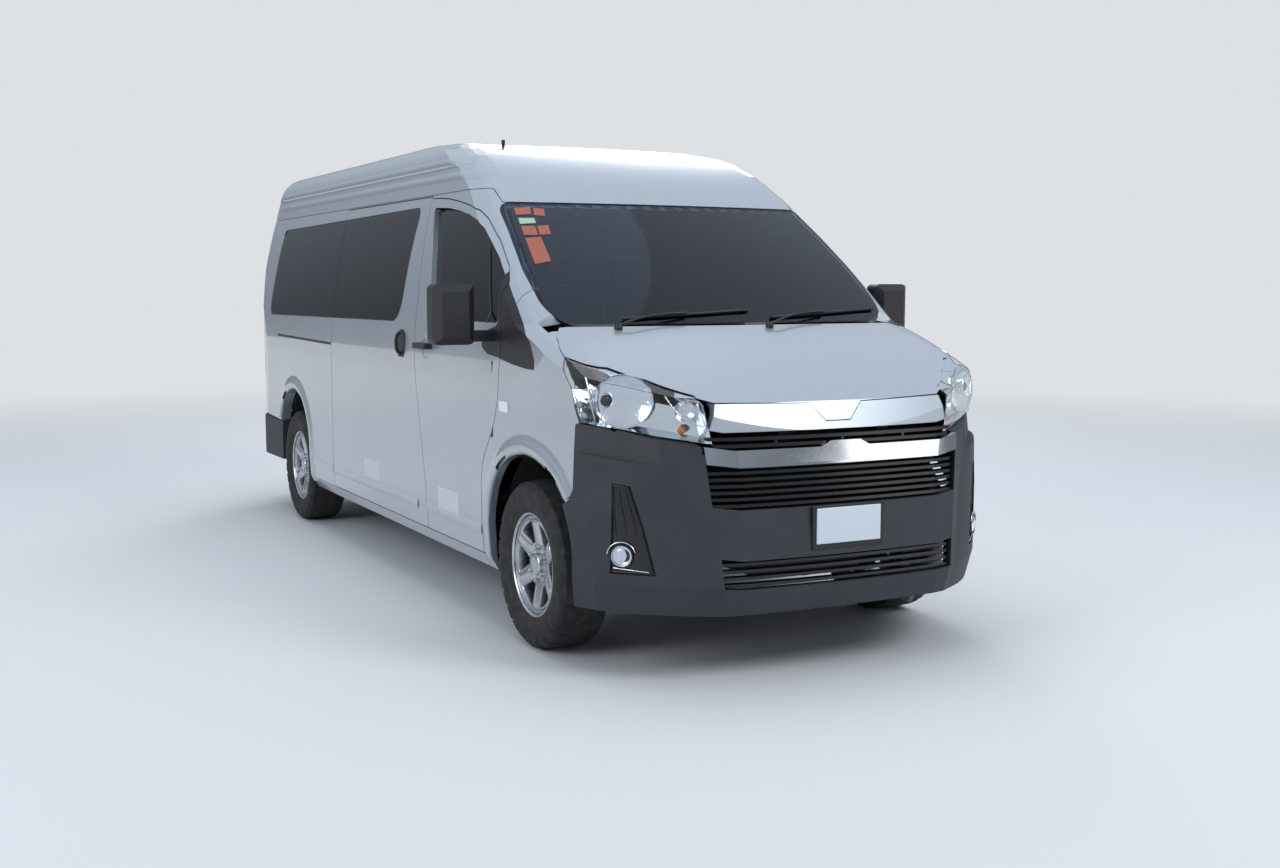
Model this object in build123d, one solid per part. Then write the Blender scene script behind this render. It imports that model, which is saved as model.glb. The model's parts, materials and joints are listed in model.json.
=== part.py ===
from build123d import *
import os
from math import cos, radians, sin, sqrt

# Passenger van: long body, high roof, short bonnet. Millimetres, +Z up.
# The front faces -Y, +X is the left side of the van, and the origin lies on the
# ground at mid length and mid width.

# Overall sizes
length = 5915
width = 1950
height = 2280
wheelbase = 3860
front_overhang = 945
body_wall = 60
panel_wall = 32
door_gap = 5
panel_gap = 4
glass_thickness = 6
glass_inset = 4
half_width = width / 2
front_axle = front_overhang - length / 2
rear_axle = front_axle + wheelbase
rear_end = length / 2
rear_step = 117
rear_face = rear_end - rear_step
sill_bottom = 262

# Wheels
tyre_radius = 356
tyre_width = 238
rim_radius = 203
rim_lip_radius = 223
rim_width = 196
wheel_centre = 850
kingpin_x = 780
stud_circle = 139.7
spoke_count = 6
hub_cap_radius = 46
liner_radius = 484
liner_wall = 12

# Greenhouse and shut lines, Y from the front axle
screen_base_y = -90
screen_base_z = 1366
screen_top_y = 603
screen_top_z = 1888
screen_half_width = 858
roof_seam_z = 1972
sliding_door_rear = 2960
door_bottom_z = 328
nose_bottom_z = 968
bonnet_front_z = 1075
roof_front_z = 2246
tailgate_half_width = 800
tailgate_top_z = 2060
tailgate_bottom_z = 640
bow_centre = 5000
corner_radius = 130
side_taper = 24
hinge_x = 962
hinge_y = 370
hinge_relief = 19
hinge_pin = 5
hinge_height = 40
hinge_levels = (940, 1150)
bonnet_arm_x = 640
eye_x = 450
eye_bore = 18
plate_hole = 3
plate_hole_x = 140
plate_hole_z = 790
tail_hinge_y = 4762
tail_hinge_z = 2030
bonnet_hinge_y = 30
bonnet_hinge_z = 1310
cowl_front = 131
bonnet_inner = 700


def at(y):
    """Y in the van's frame for a distance behind the front axle."""
    return front_axle + y


def side_face(points):
    return Plane.YZ * make_face(Polyline(*[(at(y), z) for y, z in points], close=True))


def side_prism(points, x0, x1):
    """A side-view outline (Y from the front axle, Z) carried across from x0 to x1."""
    return Pos(x0, 0, 0) * extrude(side_face(points), amount=x1 - x0)


def both_sides(solid):
    return [solid, mirror(solid, about=Plane.YZ)]


def block(x0, x1, y0, y1, z0, z1):
    """A block between two X, two Y (from the front axle) and two Z values."""
    return Pos((x0 + x1) / 2, at((y0 + y1) / 2), (z0 + z1) / 2) * Box(x1 - x0, y1 - y0, z1 - z0)


def tube_x(radius, x0, x1, y, z):
    return Pos((x0 + x1) / 2, at(y), z) * Rot(0, 90, 0) * Cylinder(radius, x1 - x0)


def solids_of(shape):
    return shape.solids() if hasattr(shape, "solids") else [s for part in shape for s in part.solids()]


def keep(shape, test=None):
    """The solids of a shape whose centre passes a test, as one compound or solid."""
    kept = [s for s in shape.solids() if test is None or test(s.center())]
    return kept[0] if len(kept) == 1 else Compound(kept)


def arc_at(v, a, b, c):
    """First coordinate of the circle through three (u, v) points, at a height v, on the side of b."""
    (ua, va), (ub, vb), (uc, vc) = a, b, c
    d = 2 * (ua * (vb - vc) + ub * (vc - va) + uc * (va - vb))
    qa, qb, qc = ua * ua + va * va, ub * ub + vb * vb, uc * uc + vc * vc
    u0 = (qa * (vb - vc) + qb * (vc - va) + qc * (va - vb)) / d
    v0 = (qa * (uc - ub) + qb * (ua - uc) + qc * (ub - ua)) / d
    reach = sqrt((ub - u0) ** 2 + (vb - v0) ** 2 - (v - v0) ** 2)
    return u0 + reach if ub > u0 else u0 - reach


parts = {}


# Body form: a cross-section carried along the van, cut by the bowed front profile,
# the plan outline, the rear profile and the corner bevel. w is the inset.
def section_form(w):
    wall = [(932 - w, sill_bottom - w), (966 - w, 332 - w), (half_width - w, 480), (half_width - 1 - w, 1090)]
    # columns: x, z of the side arc, roof side and roof shoulder
    upper = [
        (half_width - 1 - w, 1090), (936 - w, 1540), (848 - w, 1960 - w / 6),
        (819 - 0.97 * w, 2085 - 0.2 * w), (780 - 0.78 * w, 2196 - 0.62 * w), (672 - 0.25 * w, 2253 - 0.97 * w),
    ]
    mirrored = [(-x, z) for x, z in upper]
    edges = [Line(a, b) for a, b in zip(wall, wall[1:])]
    edges += [ThreePointArc(*upper[0:3]), Line(upper[2], upper[3]), ThreePointArc(*upper[3:6])]
    edges += [ThreePointArc(upper[5], (0, height - w), mirrored[5])]
    edges += [ThreePointArc(*mirrored[5:2:-1]), Line(mirrored[3], mirrored[2]), ThreePointArc(*mirrored[2::-1])]
    left = [(-x, z) for x, z in reversed(wall)]
    edges += [Line(a, b) for a, b in zip(left, left[1:])]
    edges += [Line(left[-1], wall[0])]
    return extrude(Plane.XZ.offset(length) * make_face(edges), amount=-2 * length)


def front_form(w):
    # columns: Y from the front axle, z, inset direction in Y and in Z
    rows = [
        (-850, 200, 1, 0), (-870, nose_bottom_z, 1, 0), (-832, bonnet_front_z, 1, -0.45),
        (-470, 1232, 0.41, -0.91), (screen_base_y, screen_base_z, 0.5, -0.87), (250, 1636, 0.6, -0.8),
        (screen_top_y, screen_top_z, 0.6, -0.8), (1090, 2152, 0.33, -0.94), (1740, roof_front_z, 0, -1),
    ]
    p = [(at(y) + a * w, z + b * w) for y, z, a, b in rows]
    axis_y = at(bow_centre)
    top = height + 12
    edges = [Line((axis_y, 200), p[0]), Line(p[0], p[1]), Line(p[1], p[2]), ThreePointArc(*p[2:5])]
    edges += [ThreePointArc(*p[4:7]), ThreePointArc(*p[6:9]), Line(p[8], (axis_y, top - w))]
    edges += [Line((axis_y, top - w), (axis_y, 200))]
    return revolve(Plane.YZ * make_face(edges), axis=Axis((0, axis_y, 0), (0, 0, 1)))


def plan_form(w):
    back = rear_face - front_axle
    # columns: x, Y from the front axle
    right = [
        (560, -820), (890, -580), (952, -450), (970, -140), (half_width, 300), (half_width, back - 240),
        (956, back - 90), (908, back - 26), (800, back - 6),
    ]
    right = [(x, at(y)) for x, y in right]
    left = [(-x, y) for x, y in reversed(right)]
    edges = [Line(a, b) for a, b in zip(right, right[1:])]
    edges += [ThreePointArc(right[-1], (0, at(back)), left[0])]
    edges += [Line(a, b) for a, b in zip(left, left[1:])]
    edges += [ThreePointArc(left[-1], (0, at(-872)), right[0])]
    face = make_face(edges)
    face = fillet([v for v in face.vertices() if abs(abs(v.X) - 560) < 1], 150)
    face = fillet([v for v in face.vertices() if abs(abs(v.X) - 890) < 1], 150)
    if w:
        face = offset(face, amount=-w)
    return Pos(0, 0, 150) * extrude(face, amount=height + 120)


def rear_form(w):
    back = rear_face - front_axle
    # columns: Y from the front axle, z
    rows = [
        (-1100, 220), (back - 26, 220), (back + 2, 620), (back + 1, 1200), (back - 81, 2050),
        (back - 176, 2262), (back - 950, height + 3), (back - 950, height + 150), (-1100, height + 150),
    ]
    face = make_face(Polyline(*[(at(y), z) for y, z in rows], close=True))
    face = fillet([v for v in face.vertices() if abs(v.Y - 2262) < 1], 90)
    if w:
        face = offset(face, amount=-w)
    return extrude(Plane.YZ * face, amount=length, both=True)


side_arc = [(half_width - 1, 1090), (936, 1540), (848, 1960)]
screen_arc = [(screen_base_y, screen_base_z), (250, 1636), (screen_top_y, screen_top_z)]
roof_arc = [(screen_top_y, screen_top_z), (1090, 2152), (1740, roof_front_z)]
bonnet_arc = [(-832, bonnet_front_z), (-470, 1232), (screen_base_y, screen_base_z)]


def corner_prism(w, turn, radius):
    # One flat of the rounded front corners: a prism whose face is turned from the front to the side.
    c, n = cos(radians(turn)), sin(radians(turn))
    rows = [(1700, 200), (1700, 1090)]
    # columns: z, x of the side there, arc of the centre line there
    for z, side, arc in (
        (1130, None, bonnet_arc), (1200, None, bonnet_arc), (1280, None, bonnet_arc), (1360, None, screen_arc),
        (1490, None, screen_arc), (1620, None, screen_arc), (1755, None, screen_arc), (1888, None, screen_arc),
        (1960, 848, roof_arc), (2085, 819, roof_arc), (2150, 800, roof_arc), (2196, 780, roof_arc),
        (2236, 705, roof_arc),
    ):
        x = (side or arc_at(z, *side_arc)) - side_taper - radius
        middle = bow_centre - arc_at(z, *arc)
        y = bow_centre - sqrt(middle ** 2 - x ** 2) + radius
        rows.append((x * n - y * c + radius, z))
    rows += [(rows[-1][0] - 300, height + 20), (rows[-1][0] - 300, height + 150)]
    rows += [(-6000, height + 150), (-6000, 200)]
    face = make_face(Polyline(*[(s - w, z) for s, z in rows], close=True))
    plane = Plane(origin=(0, front_axle, 0), x_dir=(n, -c, 0), z_dir=(-c, -n, 0))
    return extrude(plane * face, amount=2 * length, both=True)


def body_form(w):
    form = section_form(w) & plan_form(w) & rear_form(w) & front_form(w)
    for turn in (25, 48, 70):
        flat = corner_prism(w, turn, corner_radius)
        form = form & flat & mirror(flat, about=Plane.YZ)
    return form.solids()[0]


outer_body = body_form(0)
cabin_space = body_form(body_wall)
panel_space = body_form(panel_wall)
glass_outer = body_form(glass_inset)
glass_inner = body_form(glass_inset + glass_thickness)
shell = outer_body - cabin_space
skin = outer_body - panel_space
pane = glass_outer - glass_inner


# Side-view outlines, Y from the front axle and Z
def grow(points, amount):
    """An outline made larger, or smaller with a negative amount."""
    face = offset(make_face(Polyline(*points, close=True)), amount=amount, kind=Kind.INTERSECTION)
    return Plane.YZ * Pos(front_axle, 0) * face


def prism_from(face, x0, x1):
    return Pos(x0, 0, 0) * extrude(face, amount=x1 - x0)


# columns: Y from the front axle, z
door_seam = [
    (1263, door_bottom_z), (1260, 442), (1268, 541), (1333, 784), (1392, 1004), (1431, 1227), (1424, 1450),
    (1446, 1748), (1455, 1949),
]
door_front = [
    (302, 1536), (322, 1469), (296, 1354), (278, 1239), (291, 1161), (291, 1096), (306, 1030), (344, 936),
    (394, 866), (431, 822), (469, 774), (498, 715), (510, 640), (508, 540), (505, door_bottom_z),
]
door_top = [
    (1350, 1947), (1197, 1936), (1044, 1916), (895, 1892), (772, 1862), (681, 1822), (508, 1719), (357, 1606),
]
front_door_line = door_seam + door_top + door_front
front_window_line = [
    (1203, 1362), (1240, 1501), (1298, 1695), (1396, 1905), (1168, 1893), (1018, 1875), (869, 1850),
    (748, 1818),
    (660, 1780), (588, 1736), (445, 1645), (352, 1572), (334, 1362),
]
sliding_door_line = [(y + door_gap, z) for y, z in door_seam[:-1]] + [
    (door_seam[-1][0] + door_gap, roof_seam_z - 12), (sliding_door_rear, roof_seam_z - 12),
    (sliding_door_rear, door_bottom_z),
]
side_window_line = [(1690, 1340), (1592, 1915), (4430, 1890), (4560, 1325)]
back_of_body = rear_face - front_axle
bonnet_edge = [(-21, 1364), (-193, 1294), (-306, 1243), (-471, 1205), (-597, 1159), (-754, 1097)]
bonnet_line = bonnet_edge + [(-800, 1075), (-1100, 960), (-1100, 1500), (-21, 1500)]
lamp_line = bonnet_edge[2:] + [
    (-1100, 975), (-1100, 868), (-819, 923), (-697, 951), (-613, 977), (-475, 997), (-430, 1120),
]
lamp_edge = [(545, 868), (545, 923), (581, 1097), (581, 1300), (1100, 1300), (1100, 868)]
fender_line = bonnet_edge[:3] + [
    (-430, 1120), (-470, 997), (-452, 735), (-425, 690), (-385, 668), (-300, 655), (-300, 200), (505, 200),
    *reversed(door_front[2:]), (322, 1446), (190, 1446), (160, 1520), (100, 1520),
]
ahead_of_cabin = [
    (-1200, 150), (-1200, 1520), (160, 1520), (190, 1446), (322, 1446), *door_front[2:], (505, 150),
]


def arch_zone(centre, half, top):
    """The wheel opening: upright sides, round shoulders and a flatter crown, cut right across."""
    shoulder, waist = (0.58 * half, top - 58), (0.85 * half, top - 165)
    foot = (half, top - 340)
    edges = [ThreePointArc((-shoulder[0], shoulder[1]), (0, top), shoulder)]
    for s in (1, -1):
        side_points = [(s * x, z) for x, z in (shoulder, waist, foot)]
        edges += [ThreePointArc(*side_points)]
        edges += [Line((s * foot[0], foot[1]), (s * foot[0], 0))]
    edges += [Line((-half, 0), (half, 0))]
    return Pos(-1100, 0, 0) * extrude(Plane.YZ * Pos(at(centre), 0) * make_face(edges), amount=2200)


front_arch = arch_zone(-12, 430, 824)
rear_arch = arch_zone(wheelbase + 22, 385, 854)

# Roof panel
roof_line = [(-1200, 1903), (545, 1903), (700, roof_seam_z), (5200, roof_seam_z), (5200, 2600), (-1200, 2600)]
header = block(-780, 780, -1200, 1000, 1903, 2100)
roof_zone = side_prism(roof_line, -1100, 1100) + header
roof_zone_low = prism_from(grow(roof_line, panel_gap), -1100, 1100)
roof_zone_low = roof_zone_low + block(-784, 784, -1200, 1000, 1899, 2100)
tail_opening = block(-tailgate_half_width, tailgate_half_width, 4683, 5200, tailgate_bottom_z, tailgate_top_z)
tail_cut = block(
    -tailgate_half_width - door_gap, tailgate_half_width + door_gap, 4670, 5200,
    tailgate_bottom_z - door_gap, tailgate_top_z + door_gap,
)
parts["roof_panel"] = (shell & roof_zone) - tail_cut
groove = outer_body - body_form(14)

# Windscreen
screen_frame = [
    (screen_half_width, 1354), (screen_half_width, 1585), (802, 1898), (-802, 1898), (-screen_half_width, 1585),
    (-screen_half_width, 1354),
]
screen_face = make_face(Polyline(*screen_frame, close=True))
for level, radius in ((1354, 120), (1585, 300), (1898, 60)):
    screen_face = fillet([v for v in screen_face.vertices() if abs(v.Y - level) < 1], radius)
screen_zone = extrude(Plane.XZ.offset(-at(1000)) * screen_face, amount=2000)
screen_cut = extrude(Plane.XZ.offset(-at(1000)) * offset(screen_face, amount=3), amount=2000)
screen_hole = extrude(Plane.XZ.offset(-at(1000)) * offset(screen_face, amount=-24), amount=2000)
glass_seat = outer_body - glass_inner
parts["windscreen"] = pane & screen_zone
parts["roof_panel"] = parts["roof_panel"] - (glass_seat & screen_cut) - screen_hole

# Side walls, with the openings for doors, glass, arches and bumpers
front_door_cut = prism_from(grow(front_door_line, door_gap), 500, 1100)
front_door_cut = front_door_cut + Pos(hinge_x, at(hinge_y), 900) * Cylinder(hinge_relief, 76)
sliding_door_cut = side_prism(
    [*door_seam[:-1], (door_seam[-1][0], roof_seam_z - 7), (sliding_door_rear + door_gap, roof_seam_z - 7),
     (sliding_door_rear + door_gap, door_bottom_z - door_gap), (door_seam[0][0], door_bottom_z - door_gap)],
    -1100, -500,
)
side_window = make_face(Polyline(*side_window_line, close=True))
side_window = fillet([v for v in side_window.vertices() if v.Y < 1341 and v.X < 1700], 150)
side_window = fillet([v for v in side_window.vertices() if v.X < 1600 or v.X > 4400], 45)
window_zone = Plane.YZ * Pos(front_axle, 0) * side_window
window_hole = Plane.YZ * Pos(front_axle, 0) * offset(side_window, amount=-28)
rear_bumper_line = [
    (wheelbase + 380, 250), (wheelbase + 380, 622), (back_of_body - 120, 640), (5300, 640), (5300, 250),
]
rear_bumper_zone = side_prism(rear_bumper_line, -1100, 1100)
walls = shell - roof_zone - (groove & roof_zone_low) - prism_from(grow(ahead_of_cabin, 2), -1100, 1100)
walls = walls - (glass_seat & screen_cut) - screen_hole - tail_cut
walls = walls - front_door_cut - mirror(front_door_cut, about=Plane.YZ) - sliding_door_cut
walls = walls - rear_arch - rear_bumper_zone
walls = walls - prism_from(window_hole, -1100, 1100)
seat_face = Plane.YZ * Pos(front_axle, 0) * offset(side_window, amount=2)
window_seat = glass_seat & prism_from(seat_face, -1100, 1100)
walls = walls - window_seat
striker_face = [(y, z) for y, z in door_seam if 1000 < z < 1230]
striker = side_prism(
    [(y + 0.3, z) for y, z in striker_face] + [(y + door_gap + 2, z) for y, z in reversed(striker_face)], 944, 956,
) & block(900, 1000, 1300, 1500, 1050, 1090)
walls = walls + striker
half_space = block(0, 1100, -1300, 5300, 0, 2500)
parts["body_side_left"] = keep(walls & half_space)
parts["body_side_right"] = keep(walls - half_space)

# Side glass behind the front doors, one long flush pane on the left, two on the right
glass_zone_left = prism_from(window_zone, 500, 1100)
glass_zone_right = prism_from(window_zone, -1100, -500)
split_gap = side_prism(
    [(sliding_door_rear, 1200), (sliding_door_rear, 2000), (sliding_door_rear + door_gap, 2000),
     (sliding_door_rear + door_gap, 1200)], -1100, -500,
)
right_glass = (pane & glass_zone_right) - split_gap
left_glass = pane & glass_zone_left
parts["side_glass"] = Compound(
    solids_of(left_glass) + [s for s in solids_of(right_glass) if s.center().Y > at(sliding_door_rear)]
)
parts["sliding_door_glass"] = keep(right_glass, lambda c: c.Y < at(sliding_door_rear))

# Sliding door
door_zone = side_prism(sliding_door_line, -1100, -500)
sliding_door = (shell & door_zone) - prism_from(window_hole, -1100, -500)
sliding_door = sliding_door - window_seat
latch = block(-948, -925, sliding_door_rear - 1, sliding_door_rear + door_gap, 1120, 1170)
parts["sliding_door"] = keep(sliding_door + latch + mirror(striker, about=Plane.YZ))

# Front doors: shell as thick as the wall, window cut through, pane seated inside
front_door_face = Plane.YZ * Pos(front_axle, 0) * make_face(Polyline(*front_door_line, close=True))
door_zone_left = prism_from(front_door_face, 500, 1100)
front_window = fillet(make_face(Polyline(*front_window_line, close=True)).vertices(), 18)
front_window_zone = prism_from(Plane.YZ * Pos(front_axle, 0) * front_window, 500, 1100)
pane_zone = prism_from(Plane.YZ * Pos(front_axle, 0) * offset(front_window, amount=14), 500, 1100)
door_pane_outer = body_form(24)
door_pane_inner = body_form(24 + glass_thickness)
door_left = (outer_body & door_zone_left) - section_form(body_wall) - front_window_zone
door_pane = (door_pane_outer - door_pane_inner) & pane_zone
door_left = door_left - ((door_pane_outer - door_pane_inner) & prism_from(
    Plane.YZ * Pos(front_axle, 0) * offset(front_window, amount=15), 500, 1100))
door_edge = [(y - 12, z) for y, z in door_seam] + [(y + 8, z) for y, z in reversed(door_seam)]
door_left = keep(door_left - (door_pane_outer & side_prism(door_edge, 500, 1100)))

# Door mirror on its arm, with the sail plate at the pillar foot, and the pull handle
mirror_arm = block(930, 1075, 352, 412, 1282, 1330)
mirror_size = (190, 100, 262)
mirror_box = Box(*mirror_size)
mirror_box = chamfer(mirror_box.edges().group_by(Axis.Y)[0], 34)
mirror_box = fillet(mirror_box.edges().filter_by(Axis.Y), 30)
mirror_head = Pos(1150, at(374), 1400) * mirror_box
door_sail_line = [
    (270, 1205), (296, 1214), (430, 1225), (500, 1252), (512, 1290), (440, 1330), (352, 1347), (334, 1362),
    (352, 1572), (330, 1590), (270, 1560),
]
sail_layer = outer_body - glass_inner
door_sail = sail_layer & side_prism(door_sail_line, 500, 1100) & door_zone_left
door_left = keep(door_left - (sail_layer & prism_from(grow(door_sail_line, 0.3), 500, 1100)))
mirror_unit = (mirror_arm + mirror_head) - glass_inner - (outer_body - door_zone_left) + door_sail
handle = block(950, 1012, 1165, 1345, 1216, 1244)
handle = fillet(handle.edges().filter_by(Axis.Z), 10) - outer_body

# Front hinges: a strap from the hinge pillar that reaches round the door's inner edge to its pin
strap_line = [
    (-118, -150), (-98, -150), (-98, -112), (-109, -104), (-109, 28), (-3, -6), (3, 6), (-118, 46),
]
strap_sweep = [(9, -9), (-67, -91), (-90, -150), (-200, -150), (-200, 80), (-118, 58), (-3, 14), (9, 8)]
straps = []
for level in hinge_levels:
    place = Pos(hinge_x, at(hinge_y), level)
    strap = extrude(make_face(Polyline(*strap_line, close=True)), amount=hinge_height)
    strap = strap + Pos(0, 0, hinge_height / 2) * Cylinder(hinge_pin + 4, hinge_height)
    strap = strap - Pos(0, 0, hinge_height / 2) * Cylinder(hinge_pin + 0.3, hinge_height + 2)
    slot = extrude(make_face(Polyline(*strap_sweep, close=True)), amount=hinge_height + 12)
    slot = slot + Pos(0, 0, hinge_height / 2 + 6) * Cylinder(hinge_pin + 5.5, hinge_height + 12)
    door_left = door_left - place * Pos(0, 0, -6) * slot
    door_left = door_left + place * Pos(0, 0, hinge_height / 2) * Cylinder(hinge_pin, hinge_height + 32)
    straps.append(place * strap)
door_left = keep(door_left)

for side, flip in (("left", False), ("right", True)):
    pieces = [door_left, door_pane, mirror_unit, handle]
    if flip:
        pieces = [mirror(p, about=Plane.YZ) for p in pieces]
    parts[f"front_door_{side}"] = pieces[0]
    parts[f"front_door_glass_{side}"] = pieces[1]
    parts[f"door_trim_{side}"] = Compound(solids_of(pieces[2]) + solids_of(pieces[3]))

# Bonnet, nose panel, fenders


def front_prism(points, y0=-1200, y1=-700):
    face = Plane.XZ.offset(-at(y1)) * make_face(Polyline(*points, close=True))
    return extrude(face, amount=y1 - y0)


nose_top = [(531, 1081), (124, 1071), (57, 1001), (-57, 1001), (-124, 1071), (-531, 1081)]
lip_line = [(581, 1097), *nose_top, (-581, 1097), (-581, 1500), (581, 1500)]
bonnet_lip = front_prism(lip_line, -1200, -620)
bonnet_zone = prism_from(grow(bonnet_line, -panel_gap / 2), -1100, 1100)
below_lip = [(600, 900), (600, 1097), *lip_line[:8], (-600, 1097), (-600, 900)]
bonnet_zone = bonnet_zone - front_prism(below_lip, -1200, -700)
bonnet_zone = bonnet_zone + bonnet_lip
bonnet_zone = bonnet_zone + block(-bonnet_inner, bonnet_inner, -290, -20, 1150, 1500)
bonnet_zone = bonnet_zone - Pos(0, at(bow_centre), 1250) * Cylinder(bow_centre + cowl_front, 500)
bonnet = keep(skin & bonnet_zone)
arm_line = [
    (-138, 1400), (-146, 1245), (-84, 1212), (30, 1216), (40, 1316), (20, 1316), (10, 1240), (-72, 1238),
    (-112, 1400),
]
arm = side_prism(arm_line, bonnet_arm_x - 5, bonnet_arm_x + 5)
arm = (arm + tube_x(6, bonnet_arm_x - 33, bonnet_arm_x + 33, bonnet_hinge_y, bonnet_hinge_z)) & body_form(22)
parts["bonnet"] = keep(bonnet + arm + mirror(arm, about=Plane.YZ))
nose_low = [(-560, 978), (-507, nose_bottom_z), (507, nose_bottom_z), (560, 978)]
nose_line = [(x, z - panel_gap) for x, z in nose_top] + nose_low
nose_zone = front_prism(nose_line, -1100, -600) & block(-1100, 1100, -1100, -600, 900, 1200)
parts["nose_panel"] = keep(skin & nose_zone)
bonnet_sweep = tube_x(118, 500, 900, bonnet_hinge_y, bonnet_hinge_z) & block(500, 900, -100, 20, 1310, 1440)
fender_zone = prism_from(grow(fender_line, -panel_gap / 2), 500, 1100)
fender = (skin & fender_zone) - front_arch - screen_cut - front_door_cut - block(500, 800, -70, 400, 1000, 1540)
fender = fender - bonnet_sweep - block(500, bonnet_inner + panel_gap, -294, 400, 1000, 1540)
fender = keep(fender)
sail_line = [
    (302, 1536), (190, 1446), (84, 1359), (-41, 1291), (-97, 1218), (-98, 1181), (-12, 1181), (153, 1194),
    (340, 1218), (345, 1500),
]
sail_zone = prism_from(grow(sail_line, 0.3), 500, 1100)
sail = keep((sail_layer & side_prism(sail_line, 500, 1100)) - front_door_cut)
fender = keep(fender - (sail_layer & sail_zone))
parts["front_fenders"] = Compound(both_sides(fender))
parts["pillar_trims"] = Compound(both_sides(sail))
for side in ("left", "right"):
    cutter = sail_layer & sail_zone
    cutter = cutter if side == "left" else mirror(cutter, about=Plane.YZ)
    parts[f"body_side_{side}"] = keep(parts[f"body_side_{side}"] - cutter)

# Headlamps
lamp_body = outer_body - body_form(75)
lamp = lamp_body & prism_from(grow(lamp_line, -panel_gap / 2), 500, 1100)
lamp = lamp & front_prism([(x + panel_gap * (x < 600), z) for x, z in lamp_edge], -1200, -200)
parts["headlamps"] = Compound(both_sides(keep(lamp)))

# Front bumper: stacked plan outlines, each a bowed middle, a facet and a side run
# columns: z, Y at the middle, then x and Y of the grille bend, grille end, column crease, corner and side end
bumper_rows = [
    (268, -908, 462, -888, 530, -872, 583, -838, 905, -552, 955, -440),
    (385, -front_overhang, 462, -922, 537, -905, 586, -872, 928, -572, 966, -430),
    (680, -925, 466, -903, 572, -871, 655, -800, 946, -548, 973, -400),
    (848, -908, 467, -886, 592, -849, 707, -762, 952, -520, 974, -400),
    (1010, -898, 500, -862, 606, -822, 720, -738, 953, -500, 974, -400),
]


corner_rise = 26


def bowed(a, b, rise):
    """An arc from a to b that stands out by rise on the outer side of a plan outline."""
    dx, dy = b[0] - a[0], b[1] - a[1]
    run = sqrt(dx * dx + dy * dy)
    return ThreePointArc(a, ((a[0] + b[0]) / 2 + dy / run * rise, (a[1] + b[1]) / 2 - dx / run * rise), b)


def bumper_outline(row, inset, back):
    z, mid, *pairs = row
    # inset of x and Y at the bend, end, crease, corner and side end
    shift = [(0.2, 1), (0.4, 0.9), (0.6, 0.8), (0.9, 0.45), (1, 0)]
    right = [
        (x - dx * inset, at(y + dy * inset)) for x, y, (dx, dy) in zip(pairs[0::2], pairs[1::2], shift)
    ]
    right.append((right[-1][0], at(back)))
    left = [(-x, y) for x, y in reversed(right)]
    edges = [ThreePointArc(left[-1], (0, at(mid + inset)), right[0])]
    for side in (right, left):
        # the third run, from the column's crease to the corner, is bowed
        edges += [Line(side[0], side[1]), Line(side[1], side[2]), bowed(side[2], side[3], corner_rise)]
        edges += [Line(side[3], side[4]), Line(side[4], side[5])]
    edges += [Line(right[-1], left[0])]
    return Pos(0, 0, z) * make_face(edges)


def bumper_form(inset, back=-280):
    faces = [bumper_outline(row, inset, back) for row in bumper_rows]
    return loft(faces, ruled=True)


bumper_wall = 42
bumper_outer = bumper_form(0)
bumper_inner = bumper_form(bumper_wall) + block(-860, 860, -600, -200, 200, 1200)
bumper = bumper_outer - bumper_inner
under_lamp = [
    (-1200, 845), (-819, 919), (-697, 947), (-613, 973), (-472, 993), (-454, 735), (-427, 690), (-387, 668),
    (-302, 655), (-302, 200), (-1200, 200),
]
crease_start, crease_end = (707, -764, 840), (951, -480, 884)
run = [b - a for a, b in zip(crease_start, crease_end)]
chamfer_plane = Plane(
    origin=(crease_end[0], at(crease_end[1]), crease_end[2]), x_dir=(run[1], -run[0], 0),
    z_dir=(-run[0], -run[1], -run[2]),
)
chamfer_face = make_face(Polyline((12, 0), (-2, 118), (-20, 300), (300, 300), (300, 0), close=True))
chamfer_cut = chamfer_plane * Pos(0, 0, -300) * extrude(chamfer_face, amount=1200)
bumper = bumper & side_prism(under_lamp, -1100, 1100)
bumper = bumper - front_arch - chamfer_cut - mirror(chamfer_cut, about=Plane.YZ)
upper_opening = [(606, 980), (545, 905), (500, 902), (-500, 902), (-545, 905), (-606, 980)]
main_opening = [
    (592, 852), (467, 835), (-467, 835), (-592, 852), (-574, 690), (-467, 676), (467, 676), (574, 690),
]
low_opening = [
    (547, 494), (462, 483), (-462, 483), (-547, 494), (-537, 378), (-462, 372), (462, 372), (537, 378),
]
for outline in (main_opening, low_opening):
    bumper = bumper - front_prism(outline)
fog_opening = [(880, 773), (826, 766), (787, 604), (752, 424), (887, 425)]
fog_cut = front_prism(fog_opening, -1200, -400)
bumper = bumper - fog_cut - mirror(fog_cut, about=Plane.YZ)
bumper = bumper - front_prism([(602, 890), (-602, 890), (-602, 1100), (602, 1100)], -1200, -700)
parts["front_bumper"] = keep(bumper)

# Grille: slats that follow the bumper's bow and its bent ends
# columns: bottom z, slat count, pitch, slat height, opening outline
grille_rows = [
    (912, 2, 26, 13, upper_opening),
    (686, 6, 25, 12, main_opening),
    (382, 4, 27, 12, low_opening),
]
grille_ring = bumper_form(14) - bumper_form(50)
slats = []
for bottom, count, pitch, slat_height, outline in grille_rows:
    zone = front_prism(outline)
    for i in range(count):
        z0 = bottom + i * pitch
        slat = (grille_ring & zone) & Pos(0, at(-850), z0 + slat_height / 2) * Box(1300, 500, slat_height)
        slats += solids_of(slat)
ribs = block(-6, 6, -1100, -700, 912, 950)
for x in (-300, 300):
    ribs = ribs + block(x - 6, x + 6, -1100, -700, 912, 950)
upper_grille = slats[0] + slats[1] + (grille_ring & ribs)
upper_grille = upper_grille - parts["front_bumper"] - parts["nose_panel"] - parts["headlamps"].solids()[0]
upper_grille = upper_grille - parts["headlamps"].solids()[1]
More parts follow.
